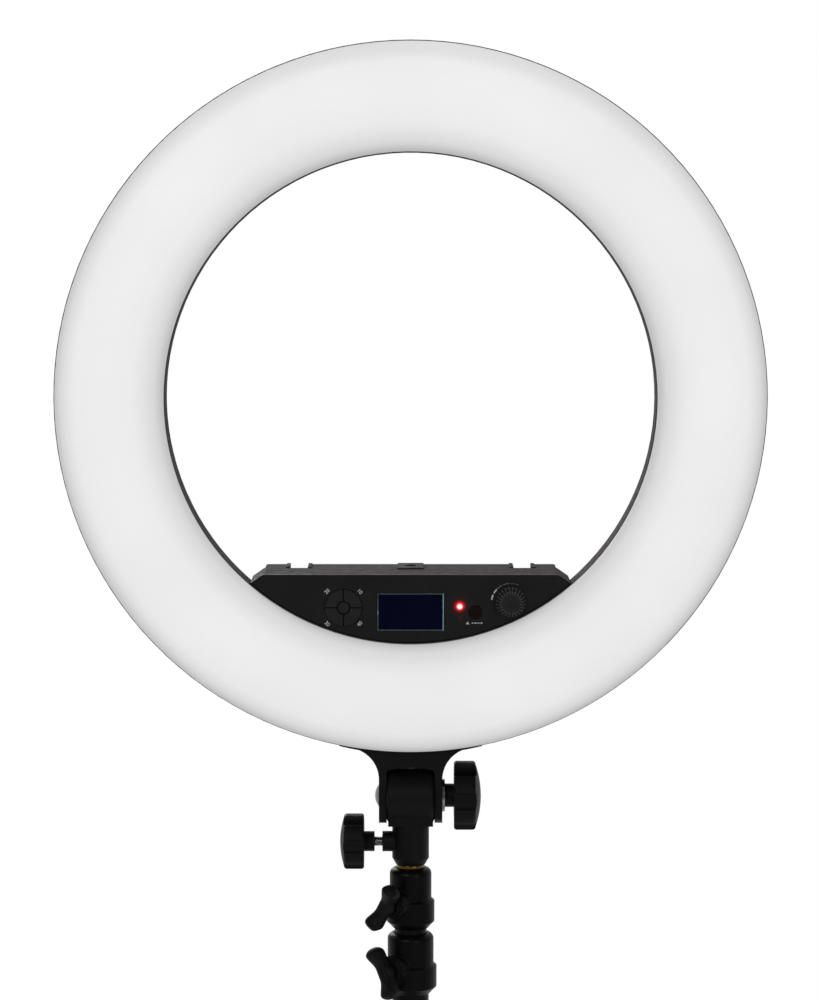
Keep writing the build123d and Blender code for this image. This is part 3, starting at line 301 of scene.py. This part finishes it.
def notched_dial(name):
    """Black knob with painted shade in its notches and a painted highlight on the ridges between them."""
    made = surface(name, (0.0075, 0.0075, 0.0075), 0.42, specular=0.16, grain=0.3, grain_size=0.3,
                   rounding=0.3, wear_and_sheen=0.3)
    tree = made.node_tree
    shader = tree.nodes["Principled BSDF"]
    plain = shader.inputs["Base Color"].links[0].from_socket
    notches = 24
    # Painted highlight on the ridges and painted shade in the grooves between them
    ridge_highlight_colour, ridge_wave = (0.030, 0.030, 0.030), (-0.5, 0.1)
    groove_shade_colour, groove_wave = (0.0008, 0.0008, 0.0008), (0.0, 0.5)
    hub = middle("dial")
    low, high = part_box("dial")
    radius = (high.x - low.x) / 2
    cap_end, rim_start = 0.56 * radius, 0.62 * radius
    shift = vector_node(tree, "SUBTRACT", object_place(tree), hub)
    parts = tree.nodes.new("ShaderNodeSeparateXYZ")
    link(tree, shift, parts.inputs[0])
    turn = math_node(tree, "ARCTAN2", parts.outputs["Z"], parts.outputs["X"])
    wave = math_node(tree, "COSINE", math_node(tree, "MULTIPLY", turn, notches))
    rim = spread(tree, face_distance(tree, hub), 0.0, 1.0, cap_end, rim_start)
    ridge_highlight = math_node(tree, "MULTIPLY", spread(tree, wave, 1.0, 0.0, *ridge_wave), rim)
    groove_shade = math_node(tree, "MULTIPLY", spread(tree, wave, 0.0, 1.0, *groove_wave), rim)
    highlighted = mixed(tree, ridge_highlight, plain, ridge_highlight_colour)
    link(tree, mixed(tree, groove_shade, highlighted, groove_shade_colour), shader.inputs["Base Color"])
    return made


PAINTED_EDGE_SHEEN = (0.020, 0.0185, 0.0185)      # painted sheen on the edges of the black castings, where light catches them
MATERIALS = {
    "housing_black": surface("housing_black", (0.047, 0.043, 0.043), 0.75, specular=0.03, grain=0.35,
                             grain_size=0.45, mottle=0.04, wear_and_sheen=0.5),
    "diffuser_white": lit_diffuser("diffuser_white"),
    "board_white": surface("board_white", (0.75, 0.75, 0.73), 0.6),
    "screw_steel": surface("screw_steel", (0.24, 0.24, 0.25), 0.35, metallic=1.0, mottle_size=3.0),
    "box_black": surface("box_black", (0.0192, 0.0155, 0.0156), 0.72, specular=0.06, grain=0.2,
                         grain_size=0.4, rounding=0.15, wear_and_sheen=0.0),
    "fascia_black": fascia_sheet("fascia_black"),
    "screen_glass": surface("screen_glass", (0.0008, 0.0012, 0.0090), 0.1, specular=0.08,
                            grain=0.0, mottle=0.4, mottle_size=1.2, rounding=0.2, wear_and_sheen=0.0),
    "module_grey": surface("module_grey", (0.3, 0.33, 0.36), 0.6),
    "board_green": surface("board_green", (0.03, 0.16, 0.07), 0.45),
    "key_black": surface("key_black", (0.0065, 0.0065, 0.007), 0.45, specular=0.14, grain=0.3,
                         grain_size=0.3, rounding=0.3, wear_and_sheen=0.35),
    # Dark round button with the indicator's red glow painted into its colour
    "button_dark_painted_glow": surface("button_dark_painted_glow", (0.0045, 0.0010, 0.0012), 0.35, specular=0.08, grain=0.2,
                           grain_size=0.3, rounding=0.3, wear_and_sheen=0.1),
    "indicator_red": lit_indicator("indicator_red"),
    "sensor_dark": surface("sensor_dark", (0.022, 0.007, 0.006), 0.25, specular=0.2, mottle_size=1.0),
    "dial_black": notched_dial("dial_black"),
    "brass": surface("brass", (0.14, 0.082, 0.028), 0.15, metallic=1.0, grain=0.2, grain_size=0.3,
                     mottle_size=6.0, rounding=1.2),
    "plate_black": surface("plate_black", (0.013, 0.012, 0.0115), 0.65, specular=0.08, grain=0.2,
                           wear_and_sheen=0.15),
    "inlet_black": surface("inlet_black", (0.016, 0.016, 0.016), 0.4, specular=0.3, grain=0.2),
    "yoke_black": surface("yoke_black", (0.0024, 0.0020, 0.0020), 0.5, specular=0.08, grain=0.45,
                          grain_size=0.55, mottle=0.25, rounding=0.6, wear_and_sheen=0.35, wear_and_sheen_colour=PAINTED_EDGE_SHEEN),
    "steel": surface("steel", (0.17, 0.165, 0.16), 0.25, metallic=1.0, grain=0.2, grain_size=0.3,
                     mottle_size=4.0, rounding=0.3),
    "knob_black": surface("knob_black", (0.0018, 0.0014, 0.0014), 0.5, specular=0.08, grain=0.3,
                          grain_size=0.45, rounding=0.9, wear_and_sheen=0.5, wear_and_sheen_colour=PAINTED_EDGE_SHEEN),
    "tube_black": surface("tube_black", (0.0014, 0.0010, 0.0011), 0.33, specular=0.07, grain=0.15,
                          grain_size=0.4, rounding=0.3, stretch=(1.0, 1.0, 0.05)),
    "collar_black": surface("collar_black", (0.0012, 0.0009, 0.0010), 0.38, specular=0.06, grain=0.3,
                            grain_size=0.5, rounding=0.8, wear_and_sheen=0.6, wear_and_sheen_colour=PAINTED_EDGE_SHEEN),
    "bush_grey": surface("bush_grey", (0.3, 0.3, 0.3), 0.5),
    "strut_black": surface("strut_black", (0.009, 0.009, 0.0095), 0.42, specular=0.25, grain=0.2),
    "foot_rubber": surface("foot_rubber", (0.011, 0.011, 0.011), 0.8, specular=0.15, grain=0.5,
                           grain_size=0.8, rounding=0.8),
    "frame_teal": surface("frame_teal", (0.030, 0.052, 0.058), 0.35, specular=0.3, mottle=0.3,
                          mottle_size=5.0, rounding=0.15),
    # Painted highlight and glint on the screen's bezel
    "frame_painted_glint": surface("frame_painted_glint", (0.13, 0.26, 0.33), 0.3, specular=0.3, mottle=0.3,
                          mottle_size=5.0, rounding=0.15),
    "print_grey": surface("print_grey", (0.30, 0.28, 0.30), 0.6, specular=0.1, mottle=0.25,
                          mottle_size=1.5, rounding=0.1, wear_and_sheen=0.0),
    "print_dim": surface("print_dim", (0.07, 0.07, 0.072), 0.6, specular=0.1, mottle=0.25,
                         mottle_size=1.5, rounding=0.1, wear_and_sheen=0.0),
    "contact_gold": surface("contact_gold", (0.75, 0.52, 0.22), 0.28, metallic=1.0, mottle_size=2.0,
                            rounding=0.2),
}

# Every node takes the material of its slot, and the round button a dark one with the indicator's red glow painted
# on it
for node_name, slot_name in SLOTS.items():
    node = NODES[node_name]
    node.data.materials.clear()
    node.data.materials.append(MATERIALS[slot_name])
NODES["power_button"].data.materials[0] = MATERIALS["button_dark_painted_glow"]


# Helpers for pieces
def piece(name, bm, material, body, smooth=False):
    """Turns a bmesh into an object that rides on a body and takes the finish it is given."""
    bmesh.ops.recalc_face_normals(bm, faces=bm.faces)
    mesh = bpy.data.meshes.new(name)
    bm.to_mesh(mesh)
    bm.free()
    for face in mesh.polygons:
        face.use_smooth = smooth
    made = bpy.data.objects.new(name, mesh)
    bpy.context.scene.collection.objects.link(made)
    mesh.materials.append(MATERIALS[material])
    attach(made, body)
    return made


def step_angle(i, count):
    """Angle of one of a full turn's equal steps."""
    return 2 * math.pi * i / count


def join_rings(bm, rings):
    """Makes the faces between each ring of points and the next."""
    for ring, following in zip(rings, rings[1:]):
        for i, corner in enumerate(ring):
            after = (i + 1) % len(ring)
            bm.faces.new((corner, ring[after], following[after], following[i]))


def close_ends(bm, rings):
    """Closes the first and the last ring of a shape."""
    bm.faces.new(rings[0][::-1])
    bm.faces.new(rings[-1])


def prism(bm, outline, direction, thickness):
    """Flat shape with a thickness: outline is a list of points in order."""
    low = [bm.verts.new(point) for point in outline]
    high = [bm.verts.new(point + direction * thickness) for point in outline]
    bm.faces.new(high)
    bm.faces.new(low[::-1])
    join_rings(bm, [low, high])


def round_ring(bm, centre, direction, radius, count):
    """Points of a circle that looks in a direction."""
    side = direction.orthogonal().normalized()
    other = direction.cross(side)
    ring = []
    for i in range(count):
        angle = step_angle(i, count)
        spoke = side * math.cos(angle) + other * math.sin(angle)
        ring.append(bm.verts.new(centre + spoke * radius))
    return ring


def lathe(bm, foot, direction, corners, segments=48):
    """Turned shape, open at its ends: corners are pairs of radius and distance from the foot."""
    rings = [round_ring(bm, foot + direction * along, direction, radius, segments)
             for radius, along in corners]
    join_rings(bm, rings)
    return rings


# Front of the control box. Places on it are in millimetres from the ring's centre.
FASCIA_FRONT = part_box("fascia")[0].y
LENS_LOW, LENS_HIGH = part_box("screen_lens")
PRINT = 0.03 * MM                     # thickness of a printed mark


def on_fascia(x, y):
    """Point on the fascia's face."""
    return Vector((RING_CENTRE.x + x * MM, FASCIA_FRONT, RING_CENTRE.z + y * MM))


def fascia_place(name):
    """Where the middle of a node is on the fascia."""
    spot = middle(name)
    return (spot.x - RING_CENTRE.x) / MM, (spot.z - RING_CENTRE.z) / MM


def capsule(x, y, length, width, corner_points=5):
    """Outline of a level bar with round ends."""
    points = []
    for end in (1, -1):
        for i in range(corner_points):
            angle = math.pi * i / (corner_points - 1) - math.pi / 2
            if end < 0:
                angle += math.pi
            along = end * (length - width) / 2 + width / 2 * math.cos(angle)
            points.append(on_fascia(x + along, y + width / 2 * math.sin(angle)))
    return points


def arc(x, y, radius, start, end, steps=6):
    """Points along an arc on the fascia, from one angle to another in degrees."""
    points = []
    for i in range(steps + 1):
        angle = math.radians(start + (end - start) * i / steps)
        points.append(on_fascia(x + radius * math.cos(angle), y + radius * math.sin(angle)))
    return points


def make_screen_frame():
    """Thin bezel on the lens, with a painted highlight along its right side and a painted glint on its left."""
    bar = 0.6 * MM
    left, right = LENS_LOW.x, LENS_HIGH.x
    low, high = LENS_LOW.z, LENS_HIGH.z
    foot = LENS_LOW.y
    rise = foot - FASCIA_FRONT

    def rectangle(x0, z0, x1, z1):
        """Corners of a rectangle on the lens."""
        return [Vector((x, foot, z)) for x, z in ((x0, z0), (x1, z0), (x1, z1), (x0, z1))]

    bm = bmesh.new()
    prism(bm, rectangle(left, high - bar, right - bar, high), OUT, rise)
    prism(bm, rectangle(left, low, right - bar, low + bar), OUT, rise)
    prism(bm, rectangle(left, low + bar, left + bar, high - bar), OUT, rise)
    piece("screen_frame", bm, "frame_teal", "head")
    bm = bmesh.new()
    # Painted highlight: the paler right side of the bezel
    prism(bm, rectangle(right - bar, low, right, high), OUT, rise)
    piece("screen_frame_right_glint", bm, "frame_painted_glint", "head")
    # Painted glint: a pale spot on the left side of the bezel
    glint_drop, glint_half_width, glint_half_height, glint_points = 0.4 * MM, 0.28 * MM, 1.5 * MM, 16
    centre = Vector((left + bar / 2, foot - rise, (low + high) / 2 - glint_drop))
    glint_spot = []
    for i in range(glint_points):
        angle = step_angle(i, glint_points)
        glint_spot.append(centre + Vector((math.cos(angle) * glint_half_width, 0.0,
                                     math.sin(angle) * glint_half_height)))
    bm = bmesh.new()
    prism(bm, glint_spot, OUT, PRINT)
    piece("screen_frame_glint", bm, "frame_painted_glint", "head")


def make_key_numbers():
    """A plain number beside each of the four keys, turned to follow the pad's edge."""
    hub = middle("centre_key")
    from_hub, size, boldness, lean = 15.6 * MM, 3.6 * MM, 0.06 * MM, math.radians(45.0)
    for index, (side, up) in enumerate(((1, 1), (-1, 1), (-1, -1), (1, -1))):
        name = f"key_number_{index + 1}"
        data = bpy.data.curves.new(name, "FONT")
        data.body = str(10 * (index + 1))
        data.size = size
        data.offset = boldness
        data.extrude = PRINT
        data.align_x = "CENTER"
        data.align_y = "CENTER"
        made = bpy.data.objects.new(name, data)
        bpy.context.scene.collection.objects.link(made)
        away = Vector((side, 0.0, up)).normalized()
        made.location = Vector((hub.x, FASCIA_FRONT, hub.z)) + away * from_hub
        made.rotation_euler = (math.pi / 2, side * up * lean, 0.0)
        data.materials.append(MATERIALS["print_grey"])
        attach(made, "head")


def make_button_print():
    """A triangle and four short bars under the round button."""
    x, y = fascia_place("power_button")
    drop = 7.4                        # millimetres under the button's middle
    y -= drop
    triangle = ((-6.6, -0.8), (-4.0, -0.8), (-5.3, 1.2))
    bars, bar_start, bar_pitch, bar_length, bar_width = 4, -1.9, 2.0, 1.5, 0.8
    bm = bmesh.new()
    prism(bm, [on_fascia(x + across, y + up) for across, up in triangle], OUT, PRINT)
    for i in range(bars):
        prism(bm, capsule(x + bar_start + bar_pitch * i, y, bar_length, bar_width), OUT, PRINT)
    piece("button_print", bm, "print_grey", "head")


def make_dial_dashes():
    """An arc of dashes round the dial that get thinner clockwise."""
    x, y = fascia_place("dial")
    radius = 12.4
    bright = 2                        # dashes that show as brightly as the other print
    dashes = ((173, 158, 1.1), (153, 138, 0.9), (135, 118, 0.75), (115, 93, 0.6), (89, 80, 0.5),
              (77, 65, 0.4))          # first and last angle, and width
    for index, (start, end, width) in enumerate(dashes):
        bm = bmesh.new()
        outline = arc(x, y, radius, start, end) + arc(x, y, radius + width, end, start)
        prism(bm, outline, OUT, PRINT)
        material = "print_grey" if index < bright else "print_dim"
        piece(f"dial_dash_{index + 1}", bm, material, "head")


# Wing knobs. Pairs are a value at the hub and one at the wings' ends.
WING_ROWS = 56
WING_CORNERS = 36
WING_LENGTH = 0.98                    # share of the solid's half span
WING_LAST_ROW = 0.995                 # place of the last row along a wing
WING_BEND = (0.2, 0.85)               # places between which a wing bends forward
WING_ROUND = 0.72                     # place where a wing's end starts to close
WING_LEVEL = (0.36, 0.58)             # middle of the depth, as a share of the reach off the collar
WING_HALF_DEPTH = (0.36, 0.42)        # share of the same reach
WING_HALF_THICKNESS = (4.2 * MM, 6.0 * MM)
WING_SQUARENESS = 0.6                 # 1 gives round sections
KNOB_HUB = 5.6 * MM                   # radius
KNOB_NOSE = 4.4 * MM                  # radius of the hub's end
KNOB_TAPER = (0.4, 0.52)              # where the hub tapers, as shares of the same reach
KNOB_SCREW = 3.0 * MM                 # radius
KNOB_SCREW_SUNK = 1.0 * MM            # into the hub
KNOB_BEVEL = 0.5 * MM


def between(pair, share):
    """Value between two others."""
    return pair[0] + (pair[1] - pair[0]) * share


def smooth_step(value, start, end):
    """0 before the start and 1 after the end, with a smooth rise in between."""
    share = min(1.0, max(0.0, (value - start) / (end - start)))
    return share * share * (3.0 - 2.0 * share)


def squared(value):
    """Pulls a circle's cosine or sine towards a square with round corners."""
    return math.copysign(abs(value) ** WING_SQUARENESS, value)


def make_wing_knob(node, joint_name, body):
    """Moulded knob: two fat wings that sweep forward from the hub and end round."""
    centre = Vector(JOINTS[joint_name]["pos_m"])
    out = Vector(JOINTS[joint_name]["axis"]).normalized()
    tip_share = 0.96                  # of the span: points past it are at the wings' ends
    bare_radius = 5 * MM              # only the screw has points closer to the axis than this
    offsets = [vertex.co - centre for vertex in NODES[node].data.vertices]
    if sum(offset.dot(out) for offset in offsets) < 0:
        out = -out
    heights = [offset.dot(out) for offset in offsets]
    spokes = [offset - out * height for offset, height in zip(offsets, heights)]
    span = max(spoke.length for spoke in spokes)
    tips = [spoke for spoke in spokes if spoke.length > tip_share * span]
    side = sum((spoke for spoke in tips if spoke.dot(tips[0]) > 0), Vector()).normalized()
    across = side.cross(out)
    screw_tip = min(heights)
    foot = min(height for height, spoke in zip(heights, spokes) if spoke.length > bare_radius)
    reach = max(heights) - foot
    bm = bmesh.new()
    rings = []
    for row in range(WING_ROWS + 1):
        place = -WING_LAST_ROW * math.cos(math.pi * row / WING_ROWS)
        sweep = smooth_step(abs(place), *WING_BEND)
        closing = max(0.0, (abs(place) - WING_ROUND) / (1.0 - WING_ROUND))
        close = math.sqrt(1.0 - closing**2)
        level = foot + reach * between(WING_LEVEL, sweep)
        deep = reach * between(WING_HALF_DEPTH, sweep) * close
        thick = between(WING_HALF_THICKNESS, sweep) * close
        spot = centre + side * place * WING_LENGTH * span
        ring = []
        for i in range(WING_CORNERS):
            angle = step_angle(i, WING_CORNERS)
            ring.append(bm.verts.new(spot + across * thick * squared(math.cos(angle))
                                     + out * (level + deep * squared(math.sin(angle)))))
        rings.append(ring)
    join_rings(bm, rings)
    close_ends(bm, rings)
    hub = [(KNOB_HUB - KNOB_BEVEL, foot), (KNOB_HUB, foot + KNOB_BEVEL),
           (KNOB_HUB, foot + KNOB_TAPER[0] * reach), (KNOB_NOSE, foot + KNOB_TAPER[1] * reach)]
    screw = [(KNOB_SCREW - KNOB_BEVEL, screw_tip), (KNOB_SCREW, screw_tip + KNOB_BEVEL),
             (KNOB_SCREW, foot + KNOB_SCREW_SUNK)]
    for profile in (hub, screw):
        close_ends(bm, lathe(bm, centre, out, profile))
    made = piece(f"{node}_moulded", bm, "knob_black", body, smooth=True)
    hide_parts(node)


def make_lock_thread():
    """Thread on the bare stretch of the lock screw between the boss and the knob."""
    screw_low, screw_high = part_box("lock_screw")
    axis_height = (screw_low.z + screw_high.z) / 2
    radius = (screw_high.z - screw_low.z) / 2
    sunk = 0.05 * MM                  # into the boss and into the knob
    proud = 0.02 * MM                 # thread's foot beyond the plain screw
    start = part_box("knuckle")[0].x - sunk
    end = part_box("lock_knob")[1].x + sunk
    pitch, depth = 1.0 * MM, 0.28 * MM
    segments, rows_per_turn = 40, 8
    steps = int((start - end) / (pitch / rows_per_turn))
    bm = bmesh.new()
    rings = []
    for step in range(steps + 1):
        x = start + (end - start) * step / steps
        ring = []
        for i in range(segments):
            phase = (x / pitch + i / segments) % 1.0
            height = radius + proud + depth * (1.0 - abs(2.0 * phase - 1.0))
            angle = step_angle(i, segments)
            ring.append(bm.verts.new((x, COLUMN.y + height * math.cos(angle),
                                      axis_height + height * math.sin(angle))))
        rings.append(ring)
    join_rings(bm, rings)
    bm.faces.new(rings[0])
    bm.faces.new(rings[-1][::-1])
    piece("lock_screw_thread", bm, "steel", "swivel_lock", smooth=True)


def cross_screw(bm, foot, direction, shank, reach, head, height):
    """Pan head screw with a cross recess: foot is under the head, direction the way it looks."""
    lathe(bm, foot, direction, [(shank, 0.0), (shank, -reach)], segments=24)
    side = direction.orthogonal().normalized()
    other = direction.cross(side)
    segments, rings = 48, 9
    first_ring = 0.94                 # radius, as a share of the head's
    crown = 0.18                      # share of the height that the head's rim is lower
    arm, slot, sunk = head * 0.62, head * 0.16, height * 0.7
    rows = [round_ring(bm, foot, direction, head, segments)]
    for ring in range(rings):
        radius = head * (first_ring - ring / rings)
        rise = height * (1.0 - crown * (radius / head) ** 2)
        row = []
        for i in range(segments):
            angle = step_angle(i, segments)
            across, along = radius * math.cos(angle), radius * math.sin(angle)
            inside = radius < arm and min(abs(across), abs(along)) < slot
            level = rise - (sunk if inside else 0.0)
            row.append(bm.verts.new(foot + side * across + other * along + direction * level))
        rows.append(row)
    join_rings(bm, rows)
    bm.faces.new(rows[-1])


def make_ring_screws():
    """Eight screws in the back of the housing, each in its counterbore."""
    low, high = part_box("ring_screws")
    circle = (OPENING_RADIUS + RING_RADIUS) / 2
    count, first_angle = 8, math.radians(22.5)
    shank, head, height, seat_depth = 1.45 * MM, 2.9 * MM, 1.3 * MM, 1.4 * MM
    bm = bmesh.new()
    for i in range(count):
        angle = first_angle + step_angle(i, count)
        seat = Vector((circle * math.cos(angle), high.y - seat_depth,
                       RING_CENTRE.z + circle * math.sin(angle)))
        cross_screw(bm, seat, -OUT, shank, seat.y - low.y, head, height)
    made = piece("ring_screw_set", bm, "screw_steel", "head")
    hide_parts("ring_screws")


def make_battery_contacts():
    """Four spring contacts on each battery plate, below its middle."""
    low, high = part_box("battery_plates")
    inset, drop = 1.5 * MM, 9 * MM    # from the release's back, and below the plate's middle
    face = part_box("battery_release_1")[1].y - inset
    height = (low.z + high.z) / 2 - drop
    count, pitch, half_width, thickness = 4, 3.2 * MM, 0.7 * MM, 0.45 * MM
    bottom, shoulder, tip = -3.5 * MM, 3.0 * MM, 3.8 * MM
    for number in (1, 2):
        centre = middle(f"battery_release_{number}").x
        bm = bmesh.new()
        for i in range(count):
            x = centre + (i - (count - 1) / 2) * pitch
            corners = ((-half_width, bottom), (half_width, bottom), (half_width, shoulder), (0.0, tip),
                       (-half_width, shoulder))
            outline = [Vector((x + across, face, height + up)) for across, up in corners]
            prism(bm, outline, -OUT, thickness)
        piece(f"battery_contacts_{number}", bm, "contact_gold", "head")


def rocker_face(way):
    """Middle and normal of the rocker's face above or below its pivot."""
    pivot = JOINTS["power_rocker_throw"]["pos_m"][2]
    backward = 0.9                    # least y of the normal of a face that looks to the back
    faces = [face for face in NODES["power_rocker"].data.polygons
             if face.normal.y > backward and (face.center.z - pivot) * way > 0]
    area = sum(face.area for face in faces)
    centre = sum((face.center * face.area for face in faces), Vector()) / area
    return centre, sum((face.normal * face.area for face in faces), Vector()).normalized()


def make_rocker_marks():
    """A bar and a ring on the two faces of the power switch."""
    thickness = 2 * PRINT
    centre, normal = rocker_face(1)
    half_width, half_height = 0.3 * MM, 1.3 * MM
    across = Vector((1.0, 0.0, 0.0))
    up = normal.cross(across)
    corners = [centre + across * (sx * half_width) + up * (sz * half_height)
               for sx, sz in ((-1, -1), (1, -1), (1, 1), (-1, 1))]
    bm = bmesh.new()
    prism(bm, corners, normal, thickness)
    piece("rocker_bar", bm, "print_grey", "power_rocker")
    centre, normal = rocker_face(-1)
    inner, outer = 0.8 * MM, 1.3 * MM
    section = [(inner, 0.0), (inner, thickness), (outer, thickness), (outer, 0.0)]
    bm = bmesh.new()
    rings = lathe(bm, centre, normal, section, segments=32)
    join_rings(bm, [rings[-1], rings[0]])
    piece("rocker_ring", bm, "print_grey", "power_rocker")


def make_foot_ribs():
    """Three grip ribs round each rubber foot."""
    slope = math.radians(60.0)        # of a spread leg, from upright
    places = (455.0, 460.0, 465.0)    # millimetres along the leg from its pin
    rib = [(10.4 * MM, -1.1 * MM), (11.1 * MM, -0.6 * MM), (11.3 * MM, 0.0), (11.1 * MM, 0.6 * MM),
           (10.4 * MM, 1.1 * MM)]
    for number in (1, 2, 3):
        pin = Vector(JOINTS[f"leg_{number}_fold"]["pos_m"])
        away = Vector((pin.x - COLUMN.x, pin.y - COLUMN.y, 0.0)).normalized()
        along = away * math.sin(slope) - UP * math.cos(slope)
        bm = bmesh.new()
        for place in places:
            lathe(bm, pin + along * place * MM, along, rib, segments=40)
        piece(f"foot_{number}_ribs", bm, "foot_rubber", f"leg_{number}", smooth=True)


make_screen_frame()
make_key_numbers()
make_button_print()
make_dial_dashes()
make_wing_knob("upper_wing_knob", "upper_knob_turn", "upper_clamp_knob")
make_wing_knob("lower_wing_knob", "lower_knob_turn", "lower_clamp_knob")
make_wing_knob("leg_collar_knob", "leg_slider_knob_turn", "leg_slider_knob")
make_lock_thread()
make_ring_screws()
make_battery_contacts()
make_rocker_marks()
make_foot_ribs()


# Stage: pale floor, plain studio light and the white background behind everything
LIT_POINT = Vector((0.0, RING_FRONT, RING_CENTRE.z - 0.2))      # on the lower part of the ring


def make_world():
    """White for the eye; in gloss and glass, white behind the object and dark on the camera's side."""
    seen, diffuse = 1.0, 0.5          # strengths for the camera and for matt surfaces
    camera_side, behind = 0.18, 1.0   # strengths in gloss and glass
    dark_end, white_start = -0.35, 0.45     # directions, from -1 at the camera's side to 1 behind
    world = bpy.data.worlds.new("studio")
    bpy.context.scene.world = world
    world.use_nodes = True
    tree = world.node_tree
    background = tree.nodes["Background"]
    background.inputs["Color"].default_value = (1.0, 1.0, 1.0, 1.0)
    path = tree.nodes.new("ShaderNodeLightPath")
    direction = tree.nodes.new("ShaderNodeSeparateXYZ")
    link(tree, tree.nodes.new("ShaderNodeTexCoord").outputs["Generated"], direction.inputs[0])
    strength = spread(tree, direction.outputs["Y"], camera_side, behind, dark_end, white_start)
    for ray, level in (("Is Diffuse Ray", diffuse), ("Is Camera Ray", seen)):
        pick = tree.nodes.new("ShaderNodeMix")
        pick.data_type = "FLOAT"
        link(tree, path.outputs[ray], pick.inputs["Factor"])
        link(tree, strength, pick.inputs["A"])
        pick.inputs["B"].default_value = level
        strength = pick.outputs["Result"]
    link(tree, strength, background.inputs["Strength"])


def make_floor():
    """Pale disc that turns into the white of the background towards its rim."""
    radius = 2.6
    fade_start, fade_end = 0.9, 0.92 * radius
    white = (1.0, 1.0, 1.0)
    bpy.ops.mesh.primitive_circle_add(radius=radius, fill_type="NGON", vertices=128)
    floor = bpy.context.object
    floor.name = "floor"
    made, tree, shader = node_tree("floor")
    away = vector_node(tree, "LENGTH", object_place(tree))
    fade = spread(tree, away, 0.0, 1.0, fade_start, fade_end)
    cloud = object_noise(tree, 0.3, detail=2.0)
    grey = mixed(tree, cloud, (0.40, 0.40, 0.40), (0.42, 0.42, 0.42))
    link(tree, mixed(tree, fade, grey, BLACK), shader.inputs["Base Color"])
    shader.inputs["Roughness"].default_value = 0.9
    shader.inputs["Specular IOR Level"].default_value = 0.0
    path = tree.nodes.new("ShaderNodeLightPath")
    seen = path.outputs["Is Camera Ray"]
    for ray in ("Is Glossy Ray", "Is Transmission Ray"):
        seen = math_node(tree, "MAXIMUM", seen, path.outputs[ray])
    glow = mixed(tree, fade, (0.66, 0.66, 0.66), white)
    link(tree, mixed(tree, seen, BLACK, glow), shader.inputs["Emission Color"])
    shader.inputs["Emission Strength"].default_value = 1.0
    floor.data.materials.append(made)


def make_lamp(name, place, size, power):
    """Square or oblong lamp that looks at the lit point."""
    data = bpy.data.lights.new(name, "AREA")
    data.shape = "RECTANGLE"
    data.size, data.size_y = size
    data.energy = power
    lamp = bpy.data.objects.new(name, data)
    lamp.location = place
    lamp.rotation_euler = (LIT_POINT - Vector(place)).to_track_quat("-Z", "Y").to_euler()
    bpy.context.scene.collection.objects.link(lamp)


def make_camera():
    """Camera at the photo's place and angle, with the photo's shift."""
    data = bpy.data.cameras.new("camera")
    camera = bpy.data.objects.new("camera", data)
    bpy.context.scene.collection.objects.link(camera)
    data.sensor_width = SENSOR
    data.lens = FOCAL_PIXELS * SENSOR / PHOTO_HEIGHT
    data.shift_x = -MIDDLE_X_PIXELS / PHOTO_HEIGHT
    data.shift_y = MIDDLE_Y_PIXELS / PHOTO_HEIGHT
    data.clip_end = 100.0
    camera.location = (0.0, RING_FRONT - CAMERA_DISTANCE, RING_CENTRE.z + CAMERA_ABOVE_RING)
    camera.rotation_euler = (math.pi / 2 - CAMERA_PITCH, 0.0, 0.0)
    bpy.context.scene.camera = camera


make_world()
make_floor()
make_lamp("key", (-1.1, -2.2, 1.9), (0.9, 0.9), 30.0)
make_lamp("fill", (1.3, -2.0, 1.2), (0.7, 1.0), 16.0)
make_lamp("top", (0.2, 0.6, 3.0), (1.4, 1.0), 24.0)
make_lamp("back", (-0.8, 2.6, 1.6), (1.0, 1.2), 20.0)
make_camera()
bpy.context.scene.view_settings.view_transform = "Standard"
